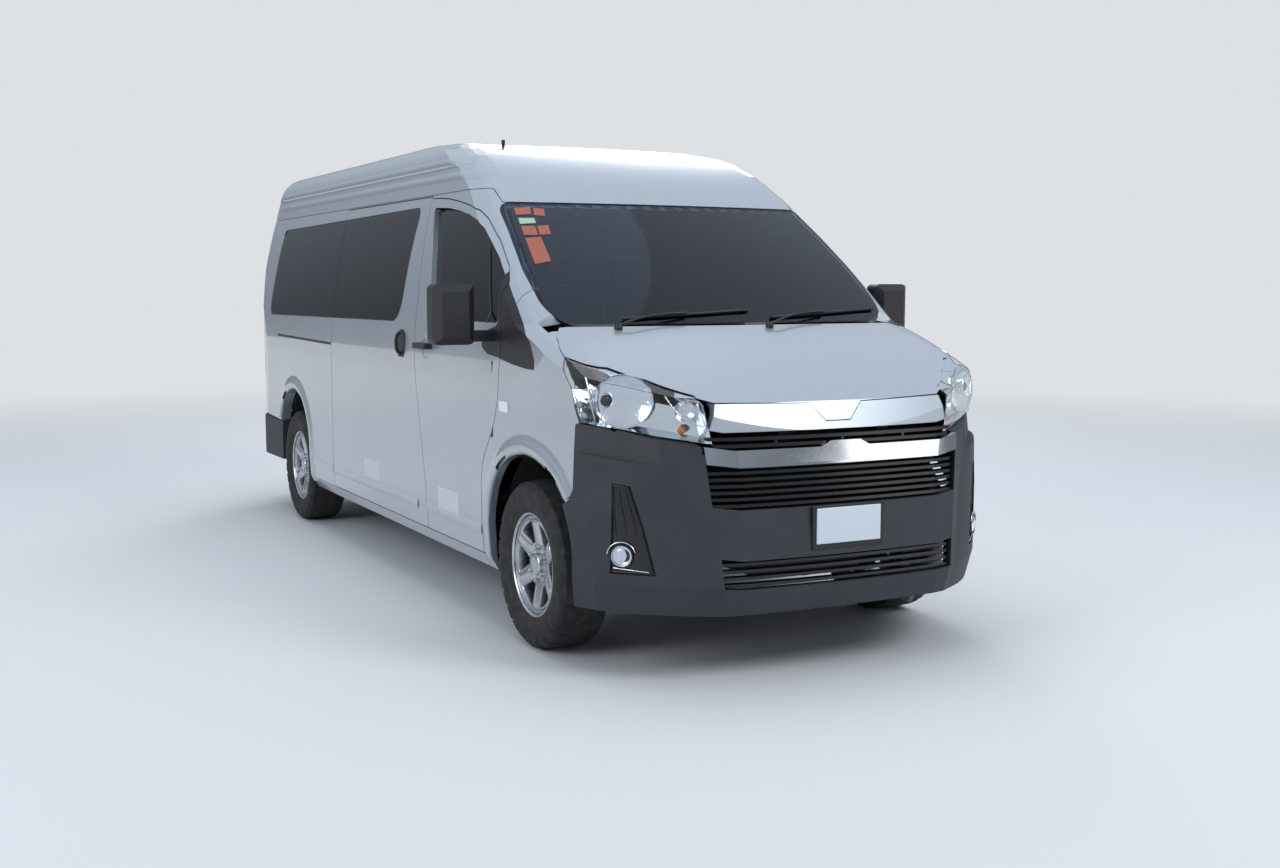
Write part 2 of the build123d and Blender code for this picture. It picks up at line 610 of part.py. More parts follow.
# Bright bar between the upper and main grilles, with its raised middle
bar_line = [
    (-592, 854), (-467, 838), (467, 838), (592, 854), (599, 920), (489, 904), (111, 905), (70, 927), (-70, 927),
    (-111, 905), (-489, 904), (-599, 920),
]
bar_ring = bumper_form(-8) - bumper_form(30)
chrome_bar = keep((bar_ring & front_prism(bar_line)) - parts["front_bumper"])
parts["grille"] = Compound(solids_of(upper_grille - chrome_bar) + slats[2:])
parts["chrome_bar"] = chrome_bar

# Fog lamps in their ribbed bezels
fog_ring = bumper_form(12) - bumper_form(60)
fog = keep(fog_ring & fog_cut)
parts["fog_lamps"] = Compound(both_sides(fog))

# Tailgate, its glass and the rear bumper
tail_zone = tail_opening - rear_bumper_zone
tail_window_outline = [(-660, 1360), (660, 1360), (640, 1880), (-640, 1880)]
tail_window = fillet(make_face(Polyline(*tail_window_outline, close=True)).vertices(), 45)


def rear_prism(face):
    return extrude(Plane.XZ.offset(-at(5200)) * face, amount=800)


tailgate = (shell & tail_zone) - rear_prism(offset(tail_window, amount=-28))
tailgate = tailgate - (glass_seat & rear_prism(offset(tail_window, amount=2)))
for x in (-400, 400):
    tailgate = tailgate - block(x - 20, x + 20, 4650, 4900, 1988, 2100)
    tailgate = tailgate - tube_x(6.3, x - 36, x + 36, tail_hinge_y, tail_hinge_z)
    lug = block(x - 8, x + 8, tail_hinge_y - 14, tail_hinge_y + 8, tail_hinge_z - 12, 2075)
    parts["roof_panel"] = parts["roof_panel"] + lug + tube_x(6, x - 32, x + 32, tail_hinge_y, tail_hinge_z)
for x in (-plate_hole_x, plate_hole_x):
    tailgate = tailgate - Pos(x, at(back_of_body), plate_hole_z) * Rot(90, 0, 0) * Cylinder(plate_hole, 80)
parts["tailgate"] = keep(tailgate)
parts["tailgate_glass"] = keep(pane & rear_prism(tail_window))

rear_bumper_outline = [
    (half_width - 12, wheelbase + 386), (half_width - 4, back_of_body - 130), (948, back_of_body - 10),
    (880, back_of_body + 72), (770, back_of_body + rear_step - 8), (0, back_of_body + rear_step),
]
right = [(x, at(y)) for x, y in rear_bumper_outline]
left = [(-x, y) for x, y in reversed(right[:-1])]
inner = [(x - 55 * (x > 0) + 55 * (x < 0), y - 60) for x, y in reversed(right + left)]
inner[-1] = (right[0][0] - 55, right[0][1])
inner[0] = (-inner[-1][0], inner[-1][1])
rear_bumper = Pos(0, 0, 352) * extrude(make_face(Polyline(*(right + left + inner), close=True)), amount=270)
rear_bumper = rear_bumper + block(-760, 760, back_of_body - 8, back_of_body + 70, 596, 622)
step_edges = [
    e for e in rear_bumper.edges().group_by(Axis.Z)[-1]
    if e.center().Y > at(back_of_body + 60) or abs(e.center().X) > 940
]
rear_bumper = chamfer(step_edges, 14)
parts["rear_bumper"] = rear_bumper - rear_arch

# Tail lamps on the rear corners
lamp_space = body_form(40)
lamp_cluster = (outer_body - lamp_space) & block(812, 1100, 4500, 5300, 905, 1320)
lamp_cluster = lamp_cluster & block(812, 1100, back_of_body - 120, 5300, 800, 1400)
parts["tail_lamps"] = Compound(both_sides(keep(lamp_cluster)))
lamp_cut = block(809, 1100, back_of_body - 123, 5300, 902, 1323)
lamp_cut = lamp_cut - lamp_space
for side in ("left", "right"):
    cutter = lamp_cut if side == "left" else mirror(lamp_cut, about=Plane.YZ)
    parts[f"body_side_{side}"] = keep(parts[f"body_side_{side}"] - cutter)

# Cowl, firewall, dashboard and steering wheel
cowl = side_prism([(-40, 1300), (60, 1300), (60, 870), (84, 870), (84, 1326), (-30, 1326)], -815, 815)
cowl = cowl + block(-483.7, 483.7, 60, 84, 560, 871)
cowl_strip = (glass_outer - panel_space) & block(-815, 815, -200, 100, 1288, 1345)
cowl_strip = cowl_strip + (glass_outer & block(-815, 815, -100, -30, 1306, 1336))
cowl_strip = cowl_strip & Pos(0, at(bow_centre), 1320) * Cylinder(bow_centre + cowl_front - 6, 100)
cowl = cowl + (cowl_strip - Pos(0, at(bow_centre), 1320) * Cylinder(bow_centre + 40, 100))
for x in (-bonnet_arm_x, bonnet_arm_x):
    cowl = cowl - block(x - 25, x + 25, -200, 60, 1200, 1400)
    cowl = cowl - tube_x(6.3, x - 36, x + 36, bonnet_hinge_y, bonnet_hinge_z)
parts["cowl_panel"] = cowl - block(-330, 330, -100, 200, 640, 1000)
dash = side_prism([(84, 980), (560, 960), (600, 1120), (480, 1330), (300, 1365), (84, 1365)], -800, 800)
wheel_plane = Plane(origin=(400, at(690), 1165), x_dir=(1, 0, 0), z_dir=(0, cos(radians(35)), sin(radians(35))))
dash = dash - wheel_plane * Pos(0, 0, -60) * Cylinder(28.3, 121)
parts["dashboard"] = dash
steering = wheel_plane * Torus(185, 15) + wheel_plane * Cylinder(62, 34) + wheel_plane * Box(356, 40, 16)
steering = steering + wheel_plane * Pos(0, 0, -60) * Cylinder(28, 120)
parts["steering_wheel"] = steering

# Floor pan with the rear wheel boxes, chassis rails, sills and front wheelhouses
floor_z = 560
floor_top = 600
rail_x = 450
rail_half = 36
box_x0, box_x1 = 600, 905
box_radius = 500
floor = block(-905, 905, 84, back_of_body - 195, floor_z, floor_top)
floor = floor + block(-780, 780, back_of_body - 196, back_of_body - 112, floor_z, floor_top)
floor = floor & body_form(body_wall + 0.3)
wheel_box = tube_x(box_radius, box_x0, box_x1, wheelbase, tyre_radius)
wheel_box = wheel_box & block(500, 1000, 3200, 4500, floor_z, 900)
wheel_well = tube_x(box_radius - 15, box_x0 + 20, box_x1 + 50, wheelbase, tyre_radius)
front_well = tube_x(liner_radius + liner_wall, 485, 985, 0, tyre_radius)
for box_side, well in zip(both_sides(wheel_box), both_sides(wheel_well)):
    floor = floor + box_side - well
for well in both_sides(front_well):
    floor = floor - well
parts["floor_pan"] = keep(floor)

rails = block(-rail_x, rail_x, 580, 660, 470, floor_z)
for y in (1500, 2400, 3200):
    rails = rails + block(-rail_x, rail_x, y - 40, y + 40, 470, floor_z)
for x in (-rail_x, rail_x):
    rails = rails + block(x - rail_half, x + rail_half, -770, back_of_body - 5, 440, floor_z)
parts["chassis_rails"] = keep(rails - parts["rear_bumper"])

sills = block(850, 900, 560, wheelbase - 470, 345, floor_z)
parts["inner_sills"] = Compound(both_sides(sills))

front_house = tube_x(liner_radius + liner_wall, 500, 872, 0, tyre_radius)
front_house = front_house - tube_x(liner_radius, 514, 960, 0, tyre_radius)
front_house = front_house & block(480, 940, -440, 480, floor_z, 900)
front_house = front_house + block(rail_x + rail_half, 502, -300, 300, 520, 700)
hinge_pillar = block(850, 975, 110, 226, 600, 1315) & panel_space
hinge_pillar = hinge_pillar - tube_x(liner_radius, 800, 1100, 0, tyre_radius)
front_house = front_house + hinge_pillar
for strap in straps:
    front_house = front_house + strap
parts["front_wheelhouses"] = Compound(both_sides(front_house))

# Front crossmember with the radiator, and the engine block
crossmember = block(-540, 540, -800, -770, 470, 600) + block(-520, -490, -780, -740, 430, 900)
crossmember = crossmember + block(490, 520, -780, -740, 430, 900) + block(-520, 520, -780, -740, 880, 915)
crossmember = crossmember + block(-380, 380, -772, -730, 430, 890)
brackets = block(200, 260, -900, -760, 885, 990) & panel_space
plate = block(512, 930, -604, -590, 790, 1120) & panel_space
stop = block(270, 300, -772, -750, 900, 1300) & body_form(panel_wall + 0.3)
for piece in (brackets, plate, stop):
    crossmember = crossmember + piece + mirror(piece, about=Plane.YZ)
crossmember = crossmember + block(500, 530, -760, -590, 800, 880) + block(-530, -500, -760, -590, 800, 880)
for name in ("front_bumper", "headlamps", "nose_panel", "grille"):
    for solid in parts[name].solids():
        crossmember = crossmember - solid
parts["front_crossmember"] = keep(crossmember)
parts["engine_block"] = block(-260, 260, -650, -80, 360, 960)

# Front subframe and lower arms, knuckles
hub_face = wheel_centre + 39.7
subframe = block(-486, 486, -80, 70, 330, 440) + block(-410, -330, -200, 200, 300, 360)
subframe = subframe + block(330, 410, -200, 200, 300, 360)
arm = block(370, kingpin_x + 26, -28, 28, 200, 234.7) + block(370, 410, -60, 60, 200, 335)
subframe = subframe + arm + mirror(arm, about=Plane.YZ)
parts["front_subframe"] = subframe
for side, s in (("left", 1), ("right", -1)):
    knuckle = block(kingpin_x - 60, kingpin_x - 12, -45, 45, 235, 480)
    knuckle = knuckle + tube_x(46, kingpin_x - 60, kingpin_x + 70, 0, tyre_radius)
    knuckle = knuckle + tube_x(118, kingpin_x - 10, kingpin_x + 16, 0, tyre_radius)
    knuckle = knuckle + tube_x(46, kingpin_x, hub_face, 0, tyre_radius)
    knuckle = knuckle + Pos(kingpin_x, at(0), 355) * Cylinder(26, 240)
    parts[f"knuckle_{side}"] = knuckle if s > 0 else mirror(knuckle, about=Plane.YZ)

# Rear axle, springs, tank, exhaust, spare
axle = tube_x(44, -hub_face, hub_face, wheelbase, tyre_radius)
axle = axle + Pos(0, rear_axle, tyre_radius) * Rot(0, 90, 0) * Cylinder(140, 150)
for s in (1, -1):
    axle = axle + tube_x(150, s * 770 - 30, s * 770 + 30, wheelbase, tyre_radius)
axle = axle + Pos(0, rear_axle - 200, tyre_radius + 4) * Rot(90, 0, 0) * Cylinder(60, 200)
axle = axle + Pos(0, rear_axle - 1650, tyre_radius + 4) * Rot(90, 0, 0) * Cylinder(38, 2800)
parts["rear_axle"] = axle
spring_outer = Pos(600, rear_axle, 1650) * Rot(0, 90, 0) * (Cylinder(1246, 70) - Cylinder(1216, 90))
spring = spring_outer & block(500, 700, wheelbase - 620, wheelbase + 620, 300, 560)
spring = spring + block(565, 635, wheelbase - 60, wheelbase + 60, 400.2, 440)
parts["leaf_springs"] = Compound(both_sides(spring))
parts["fuel_tank"] = fillet(block(500, 840, 1500, 2500, 358, floor_z).edges(), 24)
exhaust = Pos(-620, at(1900), 470) * Rot(90, 0, 0) * Cylinder(26, 2400)
exhaust = exhaust + Pos(-620, at(2200), 462) * Rot(90, 0, 0) * Cylinder(85, 620)
for y in (1000, 2200, 3000):
    exhaust = exhaust + block(-628, -612, y - 12, y + 12, 480, floor_z)
parts["exhaust_pipe"] = exhaust


def tyre_solid():
    # columns: distance from the wheel's mid plane, radius
    rows = [
        (-88.5, rim_radius + 3.3), (-88.5, rim_radius + 20), (-106, rim_radius + 32),
        (-119, rim_radius + 76), (-112, tyre_radius - 26),
        (-92, tyre_radius - 4), (0, tyre_radius), (92, tyre_radius - 4), (112, tyre_radius - 26),
        (119, rim_radius + 76), (106, rim_radius + 32), (88.5, rim_radius + 20), (88.5, rim_radius + 3.3),
    ]
    face = Plane.XZ * make_face(Polyline(*rows, close=True))
    return revolve(face, axis=Axis.X)


def rim_solid():
    barrel = Rot(0, 90, 0) * (Cylinder(rim_radius + 3, rim_width - 6) - Cylinder(rim_radius - 9, rim_width))
    flange = Cylinder(rim_lip_radius - 2, 8) - Cylinder(rim_radius - 9, 20)
    lip = Rot(0, 90, 0) * Pos(0, 0, rim_width / 2 - 2) * flange
    lip_in = Rot(0, 90, 0) * Pos(0, 0, 2 - rim_width / 2) * flange
    disc = Rot(0, 90, 0) * Pos(0, 0, 62) * Cylinder(rim_radius - 4, 26)
    window = Pos(62, 0, 140) * Rot(0, 90, 0) * Cylinder(42, 60)
    nut = Pos(82, 0, stud_circle / 2) * Rot(0, 90, 0) * extrude(RegularPolygon(12, 6), amount=10, both=True)
    for i in range(spoke_count):
        disc = disc - Rot(360 / spoke_count * i, 0, 0) * window
    hub = Rot(0, 90, 0) * Pos(0, 0, 57) * Cylinder(88, 34)
    hub = hub + Rot(0, 90, 0) * Pos(0, 0, 80) * Cylinder(hub_cap_radius, 44)
    for i in range(spoke_count):
        hub = hub + Rot(360 / spoke_count * (i + 0.5), 0, 0) * nut
    return barrel + lip + lip_in + disc + hub


tyre = tyre_solid()
rim = rim_solid()
for name, y, s in (
    ("front_left", 0, 1), ("front_right", 0, -1), ("rear_left", wheelbase, 1), ("rear_right", wheelbase, -1),
):
    place = Pos(s * wheel_centre, at(y), tyre_radius)
    turn = Rot(0, 0, 0) if s > 0 else Rot(0, 0, 180)
    parts[f"tyre_{name}"] = place * turn * tyre
    parts[f"rim_{name}"] = place * turn * rim

spare = Pos(0, at(wheelbase + 560), floor_z - tyre_width / 2) * Rot(0, 90, 0) * (tyre + rim)
parts["spare_wheel"] = spare

# Towing eyes under the ends of the rails
# columns: Y of the eye, its z, z of the rail above
eyes = []
for y, z, top in ((-735, 238, 440), (back_of_body - 60, 322, 440)):
    eye = block(eye_x - 10, eye_x + 10, y - 30, y + 30, z, top) + tube_x(34, eye_x - 10, eye_x + 10, y, z)
    eyes.append(eye - tube_x(eye_bore, eye_x - 20, eye_x + 20, y, z))
parts["towing_eyes"] = Compound([solid for eye in eyes for solid in eye.solids()])

# Seats
seat_z = floor_top


def seat(x, y, seat_width, z=seat_z):
    cushion = block(x - seat_width / 2, x + seat_width / 2, y, y + 460, z + 250, z + 380)
    rest_line = [(y + 440, z + 385), (y + 560, z + 385), (y + 680, z + 960), (y + 590, z + 960)]
    back_rest = side_prism(rest_line, x - seat_width / 2, x + seat_width / 2)
    base = block(x - seat_width / 2 + 60, x + seat_width / 2 - 60, y + 40, y + 420, z, z + 250)
    joint = block(x - seat_width / 2 + 40, x + seat_width / 2 - 40, y + 430, y + 520, z + 300, z + 390)
    return [cushion + base + back_rest + joint]


parts["front_seats"] = Compound(seat(400, 760, 520) + seat(-400, 760, 520))
rows = []
# columns: Y of the cushion's front edge, x of the bench's two ends
for y, x0, x1 in ((1580, -40, 830), (2400, -40, 830), (3230, -160, 590), (4030, -590, 590)):
    rows += seat((x0 + x1) / 2, y, x1 - x0)
parts["rear_seats"] = Compound(rows)

# Roof antenna
parts["roof_antenna"] = Pos(-510, at(1360), height - 62) * Cylinder(9, 60) - outer_body

os.makedirs("parts", exist_ok=True)
for name, shape in parts.items():
    solid = shape if isinstance(shape, (Compound, Solid)) else Compound(shape.solids())
    export_step(solid, f"parts/{name}.step")
print(len(parts), "nodes")
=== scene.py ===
import bpy
import bmesh
import json
import math
from mathutils import Matrix, Vector
from mathutils.bvhtree import BVHTree


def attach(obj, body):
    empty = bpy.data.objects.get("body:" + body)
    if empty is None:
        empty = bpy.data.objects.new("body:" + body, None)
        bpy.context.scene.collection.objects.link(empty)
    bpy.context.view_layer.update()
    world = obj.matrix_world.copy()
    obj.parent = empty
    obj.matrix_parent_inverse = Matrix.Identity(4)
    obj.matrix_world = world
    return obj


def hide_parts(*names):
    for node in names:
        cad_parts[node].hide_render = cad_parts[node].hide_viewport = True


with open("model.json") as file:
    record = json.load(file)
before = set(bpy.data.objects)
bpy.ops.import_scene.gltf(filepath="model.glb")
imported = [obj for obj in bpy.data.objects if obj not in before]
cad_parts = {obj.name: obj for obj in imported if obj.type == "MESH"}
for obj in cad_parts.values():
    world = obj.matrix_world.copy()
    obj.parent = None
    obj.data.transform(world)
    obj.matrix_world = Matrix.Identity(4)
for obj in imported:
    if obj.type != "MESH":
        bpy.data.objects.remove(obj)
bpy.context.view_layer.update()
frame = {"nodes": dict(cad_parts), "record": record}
nodes = frame["nodes"]
frontAxle = -2.0125      # Y of the front wheels, metres
rearAxle = frontAxle + 3.86
wheelRadius = 0.356


# shared helpers

def toLinear(hexText):
    parts = [int(hexText[i:i + 2], 16) / 255 for i in (1, 3, 5)]
    return [c / 12.92 if c <= 0.04045 else ((c + 0.055) / 1.055) ** 2.4 for c in parts] + [1.0]


def addNode(tree, kind, settings=None, links=None):
    node = tree.nodes.new(kind)
    for key, value in (settings or {}).items():
        if isinstance(key, int) or key in node.inputs:
            node.inputs[key].default_value = value
        else:
            setattr(node, key, value)
    for key, source in (links or {}).items():
        tree.links.new(source, node.inputs[key])
    return node


def startMaterial(name, colour, rough, metal=0.0, extra=None):
    material = bpy.data.materials.new(name)
    material.use_nodes = True
    tree = material.node_tree
    tree.nodes.clear()
    shader = addNode(tree, "ShaderNodeBsdfPrincipled", {
        "Base Color": toLinear(colour), "Roughness": rough, "Metallic": metal, **(extra or {})})
    addNode(tree, "ShaderNodeOutputMaterial", links={"Surface": shader.outputs["BSDF"]})
    place = addNode(tree, "ShaderNodeTexCoord").outputs["Object"]
    return material, tree, shader, place


def noiseField(tree, place, sizeMm, detail=2.0, stretch=None):
    if stretch:
        place = addNode(tree, "ShaderNodeMapping", {"Scale": stretch}, {"Vector": place}).outputs["Vector"]
    return addNode(tree, "ShaderNodeTexNoise", {"Scale": 1000 / sizeMm, "Detail": detail}, {"Vector": place})


def tintBy(tree, shader, field, low, high, fromLow=0.35, fromHigh=0.65):
    ramp = addNode(tree, "ShaderNodeValToRGB", links={"Fac": field})
    ramp.color_ramp.elements[0].position = fromLow
    ramp.color_ramp.elements[0].color = toLinear(low)
    ramp.color_ramp.elements[1].position = fromHigh
    ramp.color_ramp.elements[1].color = toLinear(high)
    tree.links.new(ramp.outputs["Color"], shader.inputs["Base Color"])
    return ramp


def roughBy(tree, shader, field, low, high):
    span = addNode(tree, "ShaderNodeMapRange", {"To Min": low, "To Max": high}, {"Value": field})
    tree.links.new(span.outputs["Result"], shader.inputs["Roughness"])


def bumpBy(tree, shader, field, strength, depth):
    bump = addNode(tree, "ShaderNodeBump", {"Strength": strength, "Distance": depth}, {"Height": field})
    tree.links.new(bump.outputs["Normal"], shader.inputs["Normal"])


# materials

finish = {
    "paint": "#B9C1C9", "paintDeep": "#A8B1BA", "bumper": "#2E3338", "gloss": "#131417", "rubber": "#1D1E20",
    "alloy": "#C9CCD0", "steel": "#8B8E92", "underbody": "#1B1C1E", "cloth": "#3E4248", "trim": "#3C3E41",
    "roofCloth": "#B4B2AB", "redLamp": "#8E0B10", "amber": "#D98316", "floor": "#C9CBCE",
}


def metallicPaint():
    # Sprayed silver base coat under clear lacquer: a cool sheen with fine flakes and a sharp top reflection.
    # Real flakes are 0.03 mm; they are drawn at 1.5 mm so that they show.
    material, tree, shader, place = startMaterial("silverLacquerSprayed", finish["paint"], 0.34, 0.7, {
        "Coat Weight": 1.0, "Coat Roughness": 0.035, "Coat IOR": 1.5})
    flakes = noiseField(tree, place, 1.5, 1.0)
    tintBy(tree, shader, flakes.outputs["Fac"], finish["paintDeep"], "#C5CCD3")
    peel = noiseField(tree, place, 9)
    bumpBy(tree, shader, peel.outputs["Fac"], 0.03, 0.001)
    dust = noiseField(tree, place, 420, 4)
    roughBy(tree, shader, dust.outputs["Fac"], 0.28, 0.4)
    return material


def tintedOrSkyPaintedGlass(name, colour, rough):
    # Float glass with a clean sharp reflection and faint dust streaks. The privacy glass is tinted dark in the
    # melt; the windscreen's blue colour is a painted sky reflection, not a tint of the glass.
    material, tree, shader, place = startMaterial(name, colour, rough, 0.0, {
        "Transmission Weight": 1.0, "IOR": 1.45})
    streaks = noiseField(tree, place, 60, 3, (1, 1, 0.25))
    roughBy(tree, shader, streaks.outputs["Fac"], rough, rough + 0.03)
    return material


def grainedPlastic(name, colour, grainMm, depth, rough, low=None):
    # Polypropylene moulded in an etched tool: a leather-like grain that scatters light softly.
    material, tree, shader, place = startMaterial(name, colour, rough)
    grain = addNode(tree, "ShaderNodeTexVoronoi", {"Scale": 1000 / grainMm}, {"Vector": place})
    bumpBy(tree, shader, grain.outputs["Distance"], 0.35, depth)
    patches = noiseField(tree, place, 130, 4)
    tintBy(tree, shader, patches.outputs["Fac"], low or colour, colour)
    roughBy(tree, shader, patches.outputs["Fac"], rough - 0.06, rough + 0.08)
    return material


def glossPlastic(name, colour, rough=0.22):
    # Injection-moulded ABS from a polished tool: deep even colour, fine hairline scuffs.
    material, tree, shader, place = startMaterial(name, colour, rough, 0.0, {"IOR": 1.53})
    scuffs = noiseField(tree, place, 5, 2, (1, 14, 1))
    roughBy(tree, shader, scuffs.outputs["Fac"], rough - 0.06, rough + 0.1)
    tone = noiseField(tree, place, 90, 2)
    bumpBy(tree, shader, tone.outputs["Fac"], 0.02, 0.001)
    return material


def platedTrim():
    # Chromed ABS: a bright mirror with slight moulding waviness under the plating.
    material, tree, shader, place = startMaterial("chromePlatedAbs", "#DCDFE3", 0.09, 1.0)
    waves = noiseField(tree, place, 160, 1)
    bumpBy(tree, shader, waves.outputs["Fac"], 0.04, 0.002)
    water = noiseField(tree, place, 12, 3)
    roughBy(tree, shader, water.outputs["Fac"], 0.06, 0.16)
    return material


def castAlloy():
    # Cast aluminium, machined and lacquered: bright with turned rings too fine to follow singly.
    material, tree, shader, place = startMaterial("machinedCastAluminium", finish["alloy"], 0.26, 1.0, {
        "Coat Weight": 0.5, "Coat Roughness": 0.08})
    skin = noiseField(tree, place, 3, 3)
    roughBy(tree, shader, skin.outputs["Fac"], 0.2, 0.34)
    dust = noiseField(tree, place, 70, 4)
    tintBy(tree, shader, dust.outputs["Fac"], "#B2B4B6", finish["alloy"])
    bumpBy(tree, shader, skin.outputs["Fac"], 0.05, 0.0006)
    return material


def tyreRubber():
    # Vulcanised rubber from a steel mould: matt black, dusty on the tread, with fine flex ribs on the wall.
    material, tree, shader, place = startMaterial("vulcanisedRubber", finish["rubber"], 0.72)
    dust = noiseField(tree, place, 35, 5)
    tintBy(tree, shader, dust.outputs["Fac"], "#18191A", "#34332F", 0.42, 0.78)
    fine = noiseField(tree, place, 4, 3)
    bumpBy(tree, shader, fine.outputs["Fac"], 0.25, 0.0015)
    return material


def castIron(name, colour, rough):
    # Sand-cast iron and coated steel below the floor: coarse skin with dusty dull patches.
    material, tree, shader, place = startMaterial(name, colour, rough, 0.35)
    skin = noiseField(tree, place, 6, 5)
    bumpBy(tree, shader, skin.outputs["Fac"], 0.3, 0.002)
    dirt = noiseField(tree, place, 180, 5)
    tintBy(tree, shader, dirt.outputs["Fac"], colour, "#4A4640", 0.4, 0.85)
    return material


def wovenCloth(name, colour, light):
    # Woven polyester: 1.2 mm yarns, drawn at 4 mm so that they show, with a soft sheen at the edges.
    material, tree, shader, place = startMaterial(name, colour, 0.86, 0.0, {"Sheen Weight": 0.35})
    yarns = []
    for direction in ("X", "Z"):
        wave = {"Scale": 1000 / 4 / 6.3, "bands_direction": direction}
        yarns.append(addNode(tree, "ShaderNodeTexWave", wave, {"Vector": place}).outputs["Fac"])
    both = addNode(tree, "ShaderNodeMath", {"operation": "MULTIPLY"}, {0: yarns[0], 1: yarns[1]})
    tintBy(tree, shader, both.outputs["Value"], colour, light, 0.1, 0.7)
    bumpBy(tree, shader, both.outputs["Value"], 0.4, 0.001)
    return material


def lampCover(name, colour, rough=0.02):
    # Clear polycarbonate with a hard coat: water-clear, with a slight haze from dust.
    material, tree, shader, place = startMaterial(name, colour, rough, 0.0, {
        "Transmission Weight": 1.0, "IOR": 1.3})
    haze = noiseField(tree, place, 45, 3)
    roughBy(tree, shader, haze.outputs["Fac"], rough, rough + 0.02)
    return material


silver = metallicPaint()
# the windscreen's blue base colour is a painted reflection of the sky
skyReflectionScreenGlass = tintedOrSkyPaintedGlass("screenGlassPaintedSkyReflection", "#4C5C78", 0.0)
darkGlass = tintedOrSkyPaintedGlass("privacyFloatGlass", "#181D26", 0.0)
bumperPlastic = grainedPlastic("polypropyleneGrained", finish["bumper"], 2.2, 0.0008, 0.56, "#282C31")
blackPlastic = glossPlastic("absMouldedBlack", finish["gloss"])
satinBlack = grainedPlastic("absGrainedBlack", "#1E2023", 1.6, 0.0006, 0.45, "#191A1D")
chrome = platedTrim()
alloy = castAlloy()
rubber = tyreRubber()
iron = castIron("sandCastIron", "#3B3A39", 0.7)
underbody = castIron("coatedFloorSteel", finish["underbody"], 0.75)
bareSteel = castIron("rolledSteel", finish["steel"], 0.45)
seatCloth = wovenCloth("wovenPolyesterGrey", finish["cloth"], "#565B63")
headCloth = wovenCloth("knittedHeadlining", finish["roofCloth"], "#C4C2BC")
cabinPlastic = grainedPlastic("polypropyleneCabin", finish["trim"], 2.5, 0.0005, 0.6, "#35373A")
clearCover = lampCover("polycarbonateClear", "#F4F7F8")
redCover = glossPlastic("acrylicRed", finish["redLamp"], 0.1)
amberCover = glossPlastic("acrylicAmber", finish["amber"], 0.12)
whiteCover = glossPlastic("acrylicFrosted", "#E3E6E8", 0.14)
plateWhite = glossPlastic("embossedPlateEnamel", "#C9D3DB", 0.35)
patchFilm = glossPlastic("printedFilmPale", "#C4C9CD", 0.4)
print("materials made")


# CAD nodes that stay: each gets its finish, with the cabin side in trim

slotFinish = {
    "body_paint": silver, "dark_glass": darkGlass, "lamp_clear": clearCover, "lamp_red": redCover,
    "grained_plastic": bumperPlastic, "black_plastic": blackPlastic, "bright_trim": chrome, "alloy": alloy,
    "tyre_rubber": rubber, "underbody_steel": underbody, "raw_steel": bareSteel, "iron": iron,
    "seat_fabric": seatCloth, "cabin_plastic": cabinPlastic,
}
slotOf = {row["node"]: row["material_slot"] for row in frame["record"]["subparts"]}
cabinSide = {"roof_panel": headCloth, "body_side_left": cabinPlastic, "body_side_right": cabinPlastic,
             "sliding_door": cabinPlastic, "front_door_left": cabinPlastic, "front_door_right": cabinPlastic,
             "tailgate": cabinPlastic}
for name, obj in nodes.items():
    obj.data.materials.clear()
    obj.data.materials.append(slotFinish[slotOf[name]])
    if name in cabinSide:
        obj.data.materials.append(cabinSide[name])
        for face in obj.data.polygons:
            axis = Vector((0, min(max(face.center.y, frontAxle + 0.9), rearAxle + 0.4), 1.15))
            inward = face.normal.dot((face.center - axis).normalized())
            face.material_index = 1 if inward < -0.35 else 0
# the windscreen gets the glass whose blue colour is a painted sky reflection
nodes["windscreen"].data.materials.clear()
nodes["windscreen"].data.materials.append(skyReflectionScreenGlass)
for name in ("door_trim_left", "door_trim_right", "pillar_trims", "cowl_panel"):
    nodes[name].data.materials.clear()
    nodes[name].data.materials.append(satinBlack)
print("frame nodes finished")


# the photo's viewpoint, also used to lay small pieces where the photo shows them

view = {"place": (-3.29873, -5.57444 + frontAxle, 1.52416), "azimuth": -27.18841, "height": 6.55414,
        "roll": 0.0413, "lens": 40.98, "lift": 0.0146, "sensor": 36, "width": 1280, "middle": (640, 434)}
a, e, r = (math.radians(view[k]) for k in ("azimuth", "height", "roll"))
back = Vector((math.sin(a) * math.cos(e), -math.cos(a) * math.cos(e), math.sin(e)))
right = (-back).cross(Vector((0, 0, 1))).normalized()
up = right.cross(-back)
turnedRight = math.cos(r) * right + math.sin(r) * up
turnedUp = -math.sin(r) * right + math.cos(r) * up


def pixelRay(across, down):
    focal = view["lens"] / view["sensor"] * view["width"]
    x = (across - view["middle"][0]) / focal
    y = -(down - view["middle"][1] - view["lift"] * view["width"]) / focal
    return Vector(view["place"]), (-back + turnedRight * x + turnedUp * y).normalized()


# mesh helpers

def makeObject(name, mesh, material, body, smooth=True):
    obj = bpy.data.objects.new(name, mesh)
    bpy.context.collection.objects.link(obj)
    obj.data.materials.append(material)
    if smooth:
        for face in obj.data.polygons:
            face.use_smooth = True
    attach(obj, body)
    return obj


def meshFrom(name, verts, faces):
    mesh = bpy.data.meshes.new(name)
    mesh.from_pydata([tuple(v) for v in verts], [], faces)
    mesh.update()
    return mesh


def applyModifiers(obj):
    graph = bpy.context.evaluated_depsgraph_get()
    done = bpy.data.meshes.new_from_object(obj.evaluated_get(graph))
    obj.modifiers.clear()
    obj.data = done
    return obj


def roundEdges(obj, widthMm, angle=35, segments=2):
    bevel = obj.modifiers.new("roundedEdge", "BEVEL")
    bevel.width = widthMm / 1000
    bevel.segments = segments
    bevel.limit_method = "ANGLE"
    bevel.angle_limit = math.radians(angle)
    return obj


